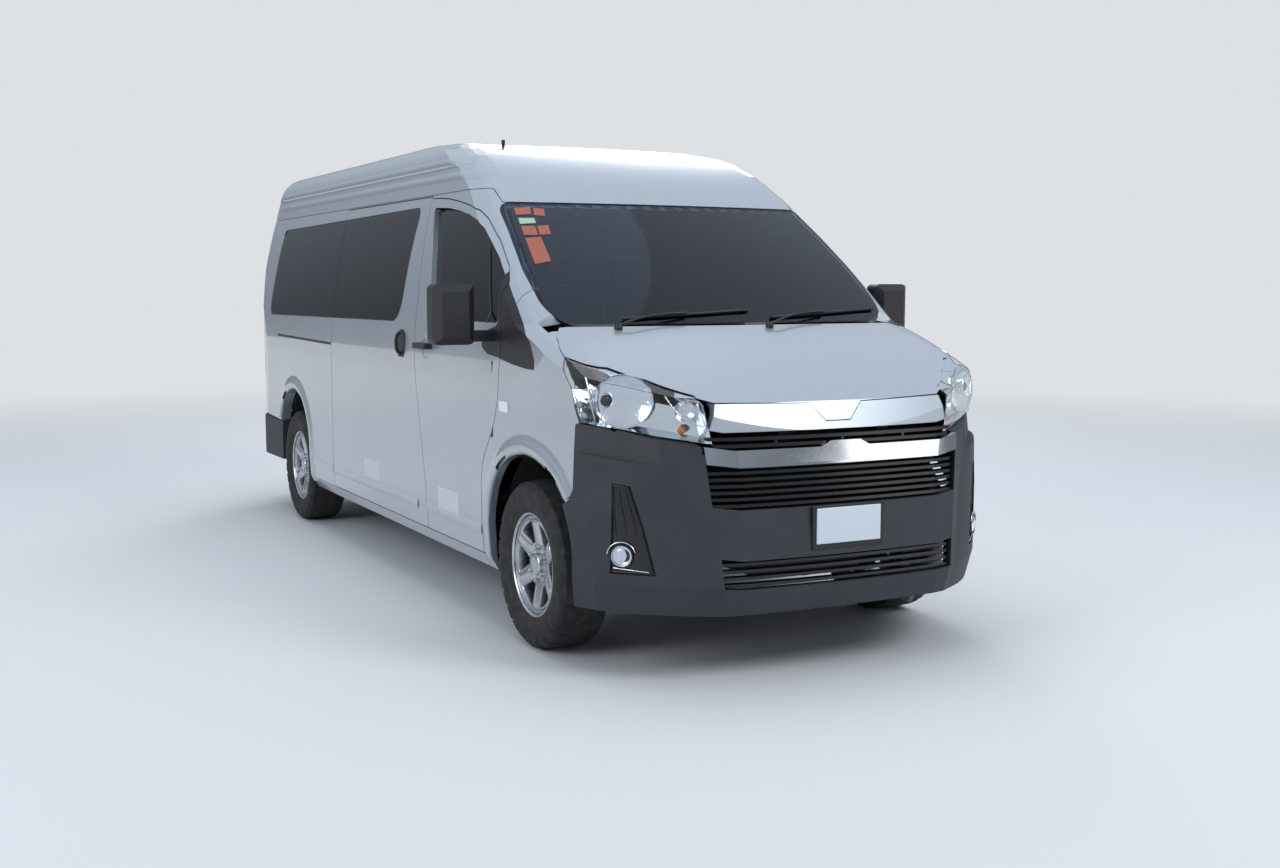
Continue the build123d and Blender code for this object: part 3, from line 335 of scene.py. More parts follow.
def boxMesh(name, low, high, cuts=0):
    bm = bmesh.new()
    bmesh.ops.create_cube(bm, size=1.0)
    size, middle = Vector(high) - Vector(low), (Vector(high) + Vector(low)) / 2
    for v in bm.verts:
        v.co = Vector((v.co.x * size.x, v.co.y * size.y, v.co.z * size.z)) + middle
    if cuts:
        bmesh.ops.subdivide_edges(bm, edges=bm.edges[:], cuts=cuts, use_grid_fill=True)
    mesh = bpy.data.meshes.new(name)
    bm.to_mesh(mesh)
    bm.free()
    return mesh


def lathe(profile, count, axis="x", centre=(0, 0, 0), close=False):
    verts, faces = [], []
    for i in range(count):
        a = 2 * math.pi * i / count
        for along, radius in profile:
            c, s = radius * math.cos(a), radius * math.sin(a)
            point = {"x": (along, c, s), "y": (c, along, s), "z": (c, s, along)}[axis]
            verts.append(Vector(point) + Vector(centre))
    n = len(profile)
    for i in range(count):
        for j in range(n - 1 + close):
            k = (j + 1) % n
            faces.append((i * n + j, i * n + k, (i + 1) % count * n + k, (i + 1) % count * n + j))
    return verts, faces


def treeOf(names):
    verts, faces = [], []
    for name in names:
        mesh = nodes[name].data
        start = len(verts)
        verts += [v.co.copy() for v in mesh.vertices]
        faces += [[start + i for i in p.vertices] for p in mesh.polygons]
    return BVHTree.FromPolygons(verts, faces)


notOuter = ("tyre", "rim", "knuckle", "door_trim", "roof_antenna")
outerTree = treeOf([n for n in nodes if not n.startswith(notOuter)])


def sidePoint(y, z, side, tree=None):
    hit, normal, _, _ = (tree or outerTree).ray_cast(Vector((side * 3, y, z)), Vector((-side, 0, 0)))
    return hit, normal


def photoPoint(across, down, tree=None):
    start, ray = pixelRay(across, down)
    hit, normal, _, _ = (tree or outerTree).ray_cast(start, ray)
    return hit, normal


def frontOutline(pixels, tree=None):
    return [(p.x, p.z) for p in (photoPoint(a, b, tree)[0] for a, b in pixels)]


def frontPoint(x, z, tree=None):
    hit, normal, _, _ = (tree or outerTree).ray_cast(Vector((x, -5, z)), Vector((0, 1, 0)))
    return hit, normal


def drape(name, outline, look, material, body, thickMm, liftMm=0.0, fine=0.02, tree=None,
          smooth=False):
    # An outline drawn in side or front view, laid on the surface below it and given a thickness.
    bm = bmesh.new()
    for a, b in outline:
        bm.verts.new((a, 0, b))
    face = bm.faces.new(bm.verts[:])
    bmesh.ops.triangulate(bm, faces=[face])
    for _ in range(6):
        long = [e for e in bm.edges if e.calc_length() > fine]
        if not long:
            break
        bmesh.ops.subdivide_edges(bm, edges=long, cuts=1)
        bmesh.ops.triangulate(bm, faces=bm.faces[:])
    laid = {}
    for v in bm.verts:
        a, b = v.co.x, v.co.z
        if look == "front":
            hit, normal = frontPoint(a, b, tree)
        elif look == "back":
            hit, normal, _, _ = (tree or outerTree).ray_cast(Vector((a, 5, b)), Vector((0, -1, 0)))
        else:
            hit, normal = sidePoint(a, b, look, tree)
        if hit is None:
            hit, normal = laid.get("last", (Vector((0, 0, 0)), Vector((0, -1, 0))))
        laid["last"] = (hit, normal)
        laid[v.index] = (hit, normal)
        v.co = hit + normal * (liftMm / 1000)
    bm.normal_update()
    outward = {"front": Vector((0, -1, 0)), "back": Vector((0, 1, 0))}.get(look) or Vector((look, 0, 0))
    total = sum((f.normal for f in bm.faces), Vector((0, 0, 0)))
    if total.dot(outward) < 0:
        bmesh.ops.reverse_faces(bm, faces=bm.faces[:])
        bm.normal_update()
    mesh = bpy.data.meshes.new(name)
    bm.to_mesh(mesh)
    bm.free()
    obj = makeObject(name, mesh, material, body, smooth)
    shell = obj.modifiers.new("thickness", "SOLIDIFY")
    shell.thickness = thickMm / 1000
    shell.offset = 1
    return applyModifiers(obj)


def tubePiece(name, points, radiusMm, material, body):
    curve = bpy.data.curves.new(name, "CURVE")
    curve.dimensions = "3D"
    curve.bevel_depth = radiusMm / 1000
    curve.bevel_resolution = 3
    curve.use_fill_caps = True
    spline = curve.splines.new("NURBS")
    spline.points.add(len(points) - 1)
    for p, q in zip(spline.points, points):
        p.co = (*q, 1)
    spline.order_u = 3
    spline.use_endpoint_u = True
    obj = bpy.data.objects.new(name, curve)
    bpy.context.collection.objects.link(obj)
    graph = bpy.context.evaluated_depsgraph_get()
    mesh = bpy.data.meshes.new_from_object(obj.evaluated_get(graph))
    bpy.data.objects.remove(obj)
    return makeObject(name, mesh, material, body)


# wheels: six-spoke cast rims and block-tread tyres

wheelLook = {"spokes": 6, "studs": 0.069, "lugs": 27, "grooveDepth": 0.009}


def rimMeshes():
    # each ring's radius and its distance out from the wheel's middle plane
    depth = {0.0: 0.088, 0.030: 0.087, 0.041: 0.084, 0.046: 0.078, 0.048: 0.060, 0.060: 0.060, 0.082: 0.062,
             0.090: 0.066, 0.098: 0.068, 0.112: 0.070, 0.130: 0.073, 0.150: 0.077, 0.168: 0.082, 0.182: 0.085,
             0.190: 0.084, 0.197: 0.074, 0.204: 0.076, 0.210: 0.092, 0.216: 0.098, 0.221: 0.096}
    rings = list(depth)
    spokes, steps = wheelLook["spokes"], 12
    count = spokes * steps
    sector = 2 * math.pi / spokes
    verts, faces = [], []
    for r in rings:
        t = min(max((r - 0.098) / 0.084, 0), 1)
        half = math.radians(7.5 + 12.5 * t ** 0.8)
        if t == 1:
            half = math.radians(16)
        for k in range(count):
            s, j = divmod(k, steps)
            u = j - steps / 2
            near = abs(u) / 3
            angle = half * near if near <= 1 else half + (sector / 2 - half) * (near - 1)
            angle = math.copysign(angle, u) + s * sector
            x = depth[r]
            crown = max(0.0, near - 1)
            if 0.07 < r < 0.19:
                x += 0.010 * min(crown, 1) * (1 - abs(t - 0.5)) - 0.004 * (near <= 1.01)
            verts.append(Vector((x, r * math.cos(angle), r * math.sin(angle))))
    for i in range(len(rings) - 1):
        for k in range(count):
            j = k % steps
            open_ = 3 <= j < 9 and 0.097 < rings[i] < 0.17
            if open_:
                continue
            k2 = (k + 1) % count
            faces.append((i * count + k, i * count + k2, (i + 1) * count + k2, (i + 1) * count + k))
    return verts, faces


def buildRim(name, centre, side, body, node):
    verts, faces = rimMeshes()
    bm = bmesh.new()
    made = [bm.verts.new(v) for v in verts]
    for f in faces:
        bm.faces.new([made[i] for i in f])
    bmesh.ops.remove_doubles(bm, verts=bm.verts[:], dist=0.0004)
    edge = [e for e in bm.edges if e.is_boundary]
    window = [e for e in edge if max(v.co.yz.length for v in e.verts) < 0.2]
    out = bmesh.ops.extrude_edge_only(bm, edges=window)
    for v in [g for g in out["geom"] if isinstance(g, bmesh.types.BMVert)]:
        v.co.x -= 0.045
    for k in range(wheelLook["spokes"]):
        a = math.radians(60 * k + 30)
        spot = Matrix.Translation((0.071, wheelLook["studs"] * math.cos(a), wheelLook["studs"] * math.sin(a)))
        bmesh.ops.create_cone(bm, cap_ends=True, segments=12, radius1=0.0115, radius2=0.009, depth=0.03,
                              matrix=spot @ Matrix.Rotation(math.pi / 2, 4, "Y"))
    barrel, skin = lathe([(0.096, 0.221), (0.086, 0.206), (0.05, 0.199), (0.0, 0.190), (-0.06, 0.196),
                          (-0.09, 0.205), (-0.098, 0.221), (-0.099, 0.208), (-0.06, 0.186), (0.0, 0.180),
                          (0.05, 0.19)], 72)
    start = [bm.verts.new(v) for v in barrel]
    for f in skin:
        bm.faces.new([start[i] for i in f])
    bmesh.ops.recalc_face_normals(bm, faces=bm.faces[:])
    for v in bm.verts:
        v.co = Vector((v.co.x * side, v.co.y, v.co.z)) + Vector(centre)
    if side < 0:
        bmesh.ops.reverse_faces(bm, faces=bm.faces[:])
    mesh = bpy.data.meshes.new(name)
    bm.to_mesh(mesh)
    bm.free()
    obj = makeObject(name, mesh, alloy, body)
    roundEdges(obj, 2.2, 28, 2)
    applyModifiers(obj)
    for face in obj.data.polygons:
        face.use_smooth = True
    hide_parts(node)
    return obj


def buildTyre(name, centre, body, node):
    half = [(0.034, 0.356), (0.094, 0.352), (0.114, 0.330), (0.1185, 0.285), (0.104, 0.236), (0.0885, 0.2065)]
    profile = [(-x, r) for x, r in reversed(half)] + half
    pitch = 2 * math.pi / wheelLook["lugs"]
    verts, faces = [], []
    spots = []
    for i in range(wheelLook["lugs"]):
        spots += [(i * pitch, 0), (i * pitch + pitch * 0.68, 0), (i * pitch + pitch * 0.84, 1)]
    for a, low in spots:
        for x, r in profile:
            if low and 0.09 < abs(x) and r > 0.32:
                r -= wheelLook["grooveDepth"]
                x *= 0.975
            verts.append(Vector((x, r * math.cos(a), r * math.sin(a))) + Vector(centre))
    n, count = len(profile), len(spots)
    for i in range(count):
        for j in range(n - 1):
            k = (i + 1) % count
            faces.append((i * n + j, i * n + j + 1, k * n + j + 1, k * n + j))
    obj = makeObject(name, meshFrom(name, verts, faces), rubber, body, smooth=False)
    for face in obj.data.polygons:
        middle = face.center - Vector(centre)
        face.use_smooth = abs(middle.x) > 0.1 or middle.yz.length < 0.33
    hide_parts(node)
    return obj


for corner, side, y in (("front_left", 1, frontAxle), ("front_right", -1, frontAxle),
                        ("rear_left", 1, rearAxle), ("rear_right", -1, rearAxle)):
    hub = (side * 0.85, y, wheelRadius)
    buildRim("rimCast_" + corner, hub, side, "wheel_" + corner, "rim_" + corner)
    buildTyre("tyreTread_" + corner, hub, "wheel_" + corner, "tyre_" + corner)
print("wheels made")


# headlamps: clear cover, bright housing, bowls, ribs and the inner indicator

lampLook = {"coverMm": 3.0, "bowlRadius": 0.098, "bowlPixel": (622, 402), "projectorPixel": (602, 401),
            "innerPixel": (684, 412), "indicatorPixel": (681, 431), "ribCount": 6, "lineCount": 7,
            "ribTop": 384, "ribStep": 4.6, "lineTop": 400, "lineStep": 2.6}


def foilReflector():
    # Vacuum-metallised polycarbonate: a soft mirror, broken by small moulded facets.
    material, tree, shader, place = startMaterial("vacuumMetallisedReflector", "#D5DCE4", 0.12, 1.0)
    facets = {"Scale": 1000 / 22, "feature": "SMOOTH_F1"}
    cells = addNode(tree, "ShaderNodeTexVoronoi", facets, {"Vector": place})
    bumpBy(tree, shader, cells.outputs["Distance"], 0.35, 0.004)
    tone = noiseField(tree, place, 30, 2)
    roughBy(tree, shader, tone.outputs["Fac"], 0.08, 0.2)
    return material


foil = foilReflector()


def splitLamp():
    others = treeOf(["bonnet", "front_fenders", "front_bumper", "nose_panel", "chrome_bar", "grille"])
    source = nodes["headlamps"].data
    coverFaces, innerFaces = [], []
    for face in source.polygons:
        outward = Vector((math.copysign(0.62, face.center.x), -0.7, 0.35)).normalized()
        facing = face.normal.dot(outward)
        hit = others.ray_cast(face.center + face.normal * 0.0005, face.normal, 0.02)[0]
        (coverFaces if facing > 0.25 and hit is None else innerFaces).append(list(face.vertices))
    return [v.co.copy() for v in source.vertices], coverFaces, innerFaces


lampVerts, coverFaces, innerFaces = splitLamp()
coverTree = BVHTree.FromPolygons(lampVerts, coverFaces)


def subsetMesh(name, verts, faces, shift=0.0):
    used = sorted({i for f in faces for i in f})
    order = {old: new for new, old in enumerate(used)}
    mesh = meshFrom(name, [verts[i] for i in used], [[order[i] for i in f] for f in faces])
    if shift:
        bm = bmesh.new()
        bm.from_mesh(mesh)
        bmesh.ops.remove_doubles(bm, verts=bm.verts[:], dist=0.0002)
        bm.normal_update()
        for v in bm.verts:
            v.co -= v.normal * shift
        bm.to_mesh(mesh)
        bm.free()
    return mesh


cover = makeObject("lampCovers", subsetMesh("lampCovers", lampVerts, coverFaces), clearCover, "body",
                   smooth=False)
weld = cover.modifiers.new("weld", "WELD")
weld.merge_threshold = 0.0003
shell = cover.modifiers.new("thickness", "SOLIDIFY")
shell.thickness = lampLook["coverMm"] / 1000
shell.offset = -1
applyModifiers(cover)
housing = makeObject("lampHousings", subsetMesh("lampHousings", lampVerts, innerFaces, 0.0015), foil, "body",
                     smooth=False)
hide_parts("headlamps")
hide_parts("headlamps")


def bowlMesh(radius, depth, rings=6, count=28):
    profile = [(depth * (1 - (i / rings) ** 2), radius * i / rings + 0.0005) for i in range(rings + 1)]
    profile += [(-0.004, radius * 1.02), (-0.004, radius * 1.06), (0.006, radius * 1.07)]
    return lathe(profile, count)


def placeRound(name, turned, at, facing, material, smooth=True, squash=1.0):
    # the round's own axis x is turned to point into the lamp; a mirrored one goes on the other side
    verts, faces = turned
    turn = facing.to_track_quat("-X", "Z").to_matrix().to_4x4()
    for side in (1, -1):
        bm = bmesh.new()
        made = [bm.verts.new(turn @ Vector((v.x, v.y * squash, v.z)) + at) for v in map(Vector, verts)]
        for f in faces:
            try:
                bm.faces.new([made[i] for i in f])
            except ValueError:
                pass
        if side < 0:
            for v in bm.verts:
                v.co.x = -v.co.x
            bmesh.ops.reverse_faces(bm, faces=bm.faces[:])
        mesh = bpy.data.meshes.new(name)
        bm.to_mesh(mesh)
        bm.free()
        makeObject(name + ("Right" if side > 0 else "Left"), mesh, material, "body", smooth)


def lampSpot(pixel, inMm):
    hit, normal = photoPoint(*pixel, coverTree)
    return hit - normal * (inMm / 1000)


look = Vector((-0.42, -0.86, 0.05)).normalized()
placeRound("mainBowl", bowlMesh(lampLook["bowlRadius"], 0.030), lampSpot(lampLook["bowlPixel"], 26), look, foil,
           smooth=False, squash=1.12)
turned = lathe([(0.03, 0.034), (0.0, 0.035), (-0.004, 0.033), (-0.002, 0.029), (0.004, 0.027)], 36)
placeRound("projectorRing", turned, lampSpot(lampLook["projectorPixel"], 20), look, chrome)
turned = lathe([(-0.006, 0.001), (-0.005, 0.010), (0.0, 0.019), (0.008, 0.026)], 36)
placeRound("projectorLens", turned, lampSpot(lampLook["projectorPixel"], 20), look, blackPlastic)
turned = lathe([(-0.004, 0.001), (-0.003, 0.008), (0.002, 0.014), (0.012, 0.016)], 24)
placeRound("indicatorBulb", turned, lampSpot(lampLook["indicatorPixel"], 14), look, amberCover)
placeRound("innerBowl", bowlMesh(0.038, 0.016), lampSpot(lampLook["innerPixel"], 22), look, foil, smooth=False)


def bothTubes(name, points, radiusMm, material):
    # a line that misses its surface is left out
    if len(points) < 2:
        return
    tubePiece(name + "Right", points, radiusMm, material, "body")
    tubePiece(name + "Left", [Vector((-q.x, q.y, q.z)) for q in points], radiusMm, material, "body")


def lampTubes(name, pixels, inMm, radiusMm, material):
    bothTubes(name, [lampSpot(pixel, inMm) for pixel in pixels], radiusMm, material)


lampTubes("lampDivider", [(665, 394), (672, 408), (683, 420), (694, 425), (704, 427)], 9, 2.6, chrome)
lampTubes("lampFrontEdge", [(697, 402), (701, 414), (705, 426)], 9, 2.2, chrome)
lampTubes("lampWedge", [(585, 375), (587, 390), (590, 408), (593, 420)], 12, 3.4, chrome)
for i in range(lampLook["ribCount"]):
    v = lampLook["ribTop"] + i * lampLook["ribStep"]
    rib = [(573.5 + i * 0.9, v), (579 + i * 0.9, v + 1.2), (585 + i * 0.6, v + 2.4)]
    lampTubes("lampRib%d" % i, rib, 13, 1.7, blackPlastic)
for i in range(lampLook["lineCount"]):
    v = lampLook["lineTop"] + i * lampLook["lineStep"]
    lampTubes("lampLine%d" % i, [(676 + i, v), (686 + i, v + 2.2), (695 + i * 0.9, v + 4)], 16, 0.9, chrome)
print("headlamps made")


# seats: cushions and backs as stuffed covers over plastic bases

# front seats: x, Y, width; rows: Y, right and left end, places
# pads: depth, thickness, how far back and up, lean in degrees
seatLook = {"floor": 0.6, "front": [(0.4, 0.76, 0.52), (-0.4, 0.76, 0.52)],
            "rows": [(1.58, -0.04, 0.83, 2), (2.40, -0.04, 0.83, 2), (3.23, -0.16, 0.59, 2),
                     (4.03, -0.59, 0.59, 3)],
            "cushion": (0.5, 0.15, 0.245, 0.315, 3), "backRest": (0.58, 0.13, 0.535, 0.66, 78),
            "headRest": (0.17, 0.1, 0.622, 1.0, 80), "headWidth": 0.27, "seams": (-0.5, 0.5)}


def padMesh(name, size, seams):
    bm = bmesh.new()
    bmesh.ops.create_cube(bm, size=2.0)
    bmesh.ops.subdivide_edges(bm, edges=bm.edges[:], cuts=9, use_grid_fill=True)
    for v in bm.verts:
        x, y, z = v.co
        rx, ry, rz = (abs(c) ** 5 for c in (x, y, z))
        pull = (1 + rx + ry + rz) ** -0.09
        x2 = x * pull * (1 - 0.035 * math.cos(y * 1.4))
        y2 = y * pull * (1 - 0.035 * math.cos(x * 1.4))
        z2 = z * (0.74 + 0.26 * math.cos(x * 1.25) * math.cos(y * 1.25))
        for seam in seams:
            z2 -= math.copysign(0.11, z) * math.exp(-((x - seam) / 0.055) ** 2) * (abs(z) > 0.5)
        v.co = Vector((x2 * size[0] / 2, y2 * size[1] / 2, z2 * size[2] / 2))
    mesh = bpy.data.meshes.new(name)
    bm.to_mesh(mesh)
    bm.free()
    return mesh


def placePad(name, size, at, tilt, seams, node):
    pad = makeObject(name, padMesh(name, size, seams), seatCloth, "body")
    pad.data.transform(Matrix.Translation(at) @ Matrix.Rotation(math.radians(tilt), 4, "X"))
    smooth = pad.modifiers.new("rounder", "SUBSURF")
    smooth.levels = 1
    applyModifiers(pad)
    for face in pad.data.polygons:
        face.use_smooth = True
    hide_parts(node)
    return pad


def buildSeat(tag, x, y, width, node):
    y += frontAxle
    base = seatLook["floor"]
    seams = seatLook["seams"]
    for word, wide, lines in (("cushion", width - 0.012, seams), ("backRest", width - 0.02, seams),
                              ("headRest", seatLook["headWidth"], ())):
        deep, thick, back, up, lean = seatLook[word]
        placePad(word + tag, (wide, deep, thick), (x, y + back, base + up), lean, lines, node)
    low, high = (x - width / 2 + 0.07, y + 0.05, base + 0.002), (x + width / 2 - 0.07, y + 0.41, base + 0.25)
    foot = makeObject("seatBase" + tag, boxMesh("seatBase" + tag, low, high, 2), cabinPlastic, "body",
                      smooth=False)
    roundEdges(foot, 18)
    applyModifiers(foot)
    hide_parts(node)


for n, (x, y, width) in enumerate(seatLook["front"]):
    buildSeat("Front%d" % n, x, y, width, "front_seats")
for n, (y, x0, x1, places) in enumerate(seatLook["rows"]):
    step = (x1 - x0) / places
    for k in range(places):
        buildSeat("Row%d%s" % (n, "ABC"[k]), x0 + step * (k + 0.5), y, step, "rear_seats")
print("seats made")


# pressed relief: bands laid on a panel and raised by a few millimetres

# arches: Y of the centre, half width and top; the rest are rows of offset across the band and height
reliefLook = {"frontArch": (frontAxle - 0.012, 0.430, 0.824), "rearArch": (rearAxle + 0.022, 0.385, 0.854),
              "archRise": 0.34, "sillZ": 0.428,
              "flare": [(0.0025, 0.0), (0.0025, 0.009), (0.018, 0.012), (0.044, 0.012), (0.056, 0.007),
                        (0.068, 0.002), (0.084, 0.0003)],
              "ridge": [(-0.030, 0.0003), (-0.014, 0.003), (0.006, 0.0042), (0.022, 0.0003)],
              "roofRib": [(-0.022, 0.0004), (-0.010, 0.005), (0.010, 0.005), (0.022, 0.0004)],
              "ring": [(-0.007, 0.0003), (-0.002, 0.003), (0.003, 0.003), (0.008, 0.0003)]}


def reliefBand(name, path, shape, side, nodeName, body="body"):
    tree, across = treeOf([nodeName]), reliefLook[shape]
    rows = []
    for n, (y, z) in enumerate(path):
        before, after = path[max(n - 1, 0)], path[min(n + 1, len(path) - 1)]
        along = Vector((after[0] - before[0], after[1] - before[1])).normalized()
        row = []
        for offset, lift in across:
            hit, _ = sidePoint(y + along.y * offset, z - along.x * offset, side, tree)
            good = hit is not None and abs(hit.x) > 0.7
            row.append(hit + Vector((side * lift, 0, 0)) if good else None)
        rows.append(row)
    verts, faces, order = [], [], {}
    for i in range(len(rows) - 1):
        for j in range(len(across) - 1):
            corners = [(i, j), (i + 1, j), (i + 1, j + 1), (i, j + 1)]
            if any(rows[a][b] is None for a, b in corners):
                continue
            for key in corners:
                if key not in order:
                    order[key] = len(verts)
                    verts.append(rows[key[0]][key[1]])
            face = [order[key] for key in corners]
            faces.append(face if side > 0 else face[::-1])
    mesh = meshFrom(name, verts, faces)
    if sum(f.normal.x * side for f in mesh.polygons) < 0:
        mesh.flip_normals()
    return makeObject(name, mesh, silver, body)


def archPath(centre, half, top, count=72):
    rise = reliefLook["archRise"]
    turn = [math.pi * i / count for i in range(count + 1)]
    path = [(centre + half * math.cos(t), top - rise + rise * math.sin(t)) for t in turn]
    feet = [0.30 + 0.02 * i for i in range(9)]
    return [(path[0][0], z) for z in feet] + path + [(path[-1][0], z) for z in reversed(feet)]


def level(y0, y1, z, step=0.01):
    count = int((y1 - y0) / step)
    return [(frontAxle + y0 + (y1 - y0) * i / count, z) for i in range(count + 1)]


def ringPath(y, z, radius, count=40):
    turn = [2 * math.pi * i / count for i in range(count + 1)]
    return [(frontAxle + y + radius * math.cos(t), z + radius * math.sin(t)) for t in turn]


for side, word in ((1, "Left"), (-1, "Right")):
    door, panel = "front_door_" + word.lower(), "body_side_" + word.lower()
    ride = "door_" + word.lower()
    sill = reliefLook["sillZ"]
    reliefBand("flareFront" + word, archPath(*reliefLook["frontArch"]), "flare", side, "front_fenders")
    reliefBand("flareRear" + word, archPath(*reliefLook["rearArch"]), "flare", side, panel)
    reliefBand("sillRidgeDoor" + word, level(0.46, 1.75, sill), "ridge", side, door, ride)
    reliefBand("sillRidgeSide" + word, level(1.4, 3.44, sill), "ridge", side, panel)
    reliefBand("roofRibLow" + word, level(0.82, 4.66, 2.045, 0.02), "roofRib", side, "roof_panel")
    reliefBand("roofRibHigh" + word, level(0.9, 4.66, 2.12, 0.02), "roofRib", side, "roof_panel")
    reliefBand("handleRing" + word, ringPath(1.25, 1.222, 0.056), "ring", side, door, ride)
reliefBand("sillRidgeSlider", level(1.4, 3.1, reliefLook["sillZ"]), "ridge", -1, "sliding_door")
print("pressed relief made")


# fog lamps in ribbed bezels

fogTree = treeOf(["fog_lamps"])
fogLook = {"pixel": (622, 556), "ribs": (0.810, 0.829, 0.848, 0.866),
           "frame": [(0.874, 0.766), (0.829, 0.760), (0.791, 0.604), (0.758, 0.431), (0.882, 0.432)]}


def fogSpots(places, outMm):
    hits = [frontPoint(-x, z, fogTree)[0] for x, z in places]
    return [hit + Vector((-0.2, -0.95, 0)) * (outMm / 1000) for hit in hits if hit is not None]


corners = fogLook["frame"]
for n, (x0, z0) in enumerate(corners):
    x1, z1 = corners[(n + 1) % len(corners)]
    edge = [(x0 + (x1 - x0) * t / 4, z0 + (z1 - z0) * t / 4) for t in range(5)]
    bothTubes("fogFrame%d" % n, fogSpots(edge, 3), 4.2, blackPlastic)
for n, x in enumerate(fogLook["ribs"]):
    rib = [(x + 0.008 - 0.028 * t / 6 * (1.5 - 0.4 * n), 0.745 - 0.165 * t / 6) for t in range(7)]
    bothTubes("fogRib%d" % n, fogSpots(rib, 2), 3.6, satinBlack)
spot, fogNormal = photoPoint(*fogLook["pixel"], fogTree)
facing = (fogNormal + Vector((-0.1, -0.3, 0))).normalized()
spot = spot + facing * 0.007
placeRound("fogBowl", bowlMesh(0.038, 0.014), spot, facing, foil, smooth=False)
turned = lathe([(-0.013, 0.0005), (-0.012, 0.016), (-0.008, 0.030), (-0.001, 0.039), (0.004, 0.041)], 32)
placeRound("fogLens", turned, spot, facing, clearCover)
turned = lathe([(0.006, 0.0005), (0.004, 0.012), (0.006, 0.026), (0.009, 0.036)], 24)
placeRound("fogReflector", turned, spot, facing, foil, smooth=False)
turned = lathe([(0.008, 0.047), (-0.006, 0.046), (-0.008, 0.043), (-0.002, 0.040), (0.004, 0.040)], 36)
placeRound("fogRing", turned, spot, facing, blackPlastic)
across = facing.cross(Vector((0, 0, 1))).normalized()
arc = []
for t in range(8, 176, 14):
    a = math.radians(t)
    arc.append(spot + facing * 0.006 + across * (0.058 * math.cos(a)) + Vector((0, 0, 0.056 * math.sin(a))))
bothTubes("fogArc", arc, 2.6, chrome)
shelf = [(0.872 - 0.10 * t / 5, 0.447 - 0.002 * t) for t in range(6)]
bothTubes("fogShelf", fogSpots(shelf, 8), 3.0, chrome)
print("fog lamps made")


# rear: lamp segments, plate, garnish, wiper, stop lamp and reflectors

backTree = treeOf(["tailgate", "tailgate_glass", "rear_bumper", "roof_panel", "tail_lamps", "body_side_left",
                   "body_side_right"])


def backSpot(x, z, outMm):
    hit, normal, _, _ = backTree.ray_cast(Vector((x, 5, z)), Vector((0, -1, 0)))
    return hit + Vector((0, outMm / 1000, 0))


def rect(x0, x1, z0, z1):
    x0, x1 = sorted((x0, x1))
    return [(x0, z0), (x1, z0), (x1, z1), (x0, z1)]


# bottom, top and cover of each part of the tail lamps
segments = [(1.19, 1.305, redCover), (1.105, 1.182, amberCover), (1.02, 1.097, whiteCover),
            (0.92, 1.012, redCover)]
# name, outline, material, body, slot, thickness, lift and mesh length
rearPieces = []
for side, word in ((1, "Left"), (-1, "Right")):
    for n, (z0, z1, glassy) in enumerate(segments):
        rearPieces.append(("tailSegment%d%s" % (n, word), rect(side * 0.83, side * 0.945, z0, z1), glassy,
                           "body", "lamp_red", 2.5, 0.4, 0.03))
    rearPieces.append(("rearReflector" + word, rect(side * 0.70, side * 0.86, 0.43, 0.465), redCover,
                       "body", "lamp_red", 3, 0.4, 0.04))
lid, dark = "tailgate_lid", "black_plastic"
rearPieces += [
    ("plateGarnish", rect(-0.46, 0.46, 0.875, 0.935), chrome, lid, "bright_trim", 12, 0.4, 0.08),
    ("plateRecess", rect(-0.24, 0.24, 0.70, 0.865), satinBlack, lid, dark, 3, 0.4, 0.08),
    ("plateBlankRear", rect(-0.15, 0.15, 0.72, 0.85), plateWhite, lid, "lamp_clear", 2.5, 3.6, 0.08),
    ("tailgateGrip", rect(-0.11, 0.11, 0.655, 0.685), satinBlack, lid, dark, 9, 0.4, 0.05),
    ("highStopLamp", rect(-0.14, 0.14, 1.925, 1.95), redCover, lid, "lamp_red", 8, 0.4, 0.05),
    ("bumperStep", rect(-0.70, 0.70, 0.565, 0.607), satinBlack, "body", dark, 2.5, 0.4, 0.08),
]
for name, outline, material, body, slotName, thickMm, liftMm, fine in rearPieces:
    drape(name, outline, "back", material, body, thickMm, liftMm, fine, backTree)
pivot = backSpot(0.0, 1.315, 4)
cap, skin = lathe([(0.022, 0.001), (0.022, 0.012), (0.014, 0.019), (0.0, 0.02)], 24, "y", pivot)
makeObject("rearWiperPivot", meshFrom("rearWiperPivot", cap, skin), satinBlack, "tailgate_lid")
arm = [pivot + Vector((0, 0.018, 0)), backSpot(-0.12, 1.36, 30), backSpot(-0.30, 1.405, 24)]
tubePiece("rearWiperArm", arm, 5, satinBlack, "tailgate_lid")
blade = [backSpot(-0.10 - 0.1 * t, 1.385 + 0.008 * t, 10) for t in range(5)]
tubePiece("rearWiperBlade", blade, 5.5, satinBlack, "tailgate_lid")
print("rear pieces made")


# small outside pieces

smallLook = {"plate": (0.30, 0.14), "plateFrame": (0.335, 0.172), "plateZ": 0.592}


def frontPlate(name, size, z, out, material):
    hit, _ = frontPoint(0, z)
    low = Vector((-size[0] / 2, hit.y - out - 0.006, z - size[1] / 2))
    high = Vector((size[0] / 2, hit.y - out + 0.004, z + size[1] / 2))
    obj = makeObject(name, boxMesh(name, low, high, 1), material, "body", smooth=False)
    roundEdges(obj, 3)
    return applyModifiers(obj)


frontPlate("plateFrameFront", smallLook["plateFrame"], smallLook["plateZ"], 0.003, satinBlack)
frontPlate("plateBlankFront", smallLook["plate"], smallLook["plateZ"] + 0.006, 0.009, plateWhite)

# blank sticker patches inside the top corner of the windscreen, in the colours of the photo
orangePaper = glossPlastic("printedPaperOrange", "#96503C", 0.5)
greenPaper = glossPlastic("printedPaperGreen", "#8FB0A0", 0.5)
screenTree = treeOf(["windscreen"])
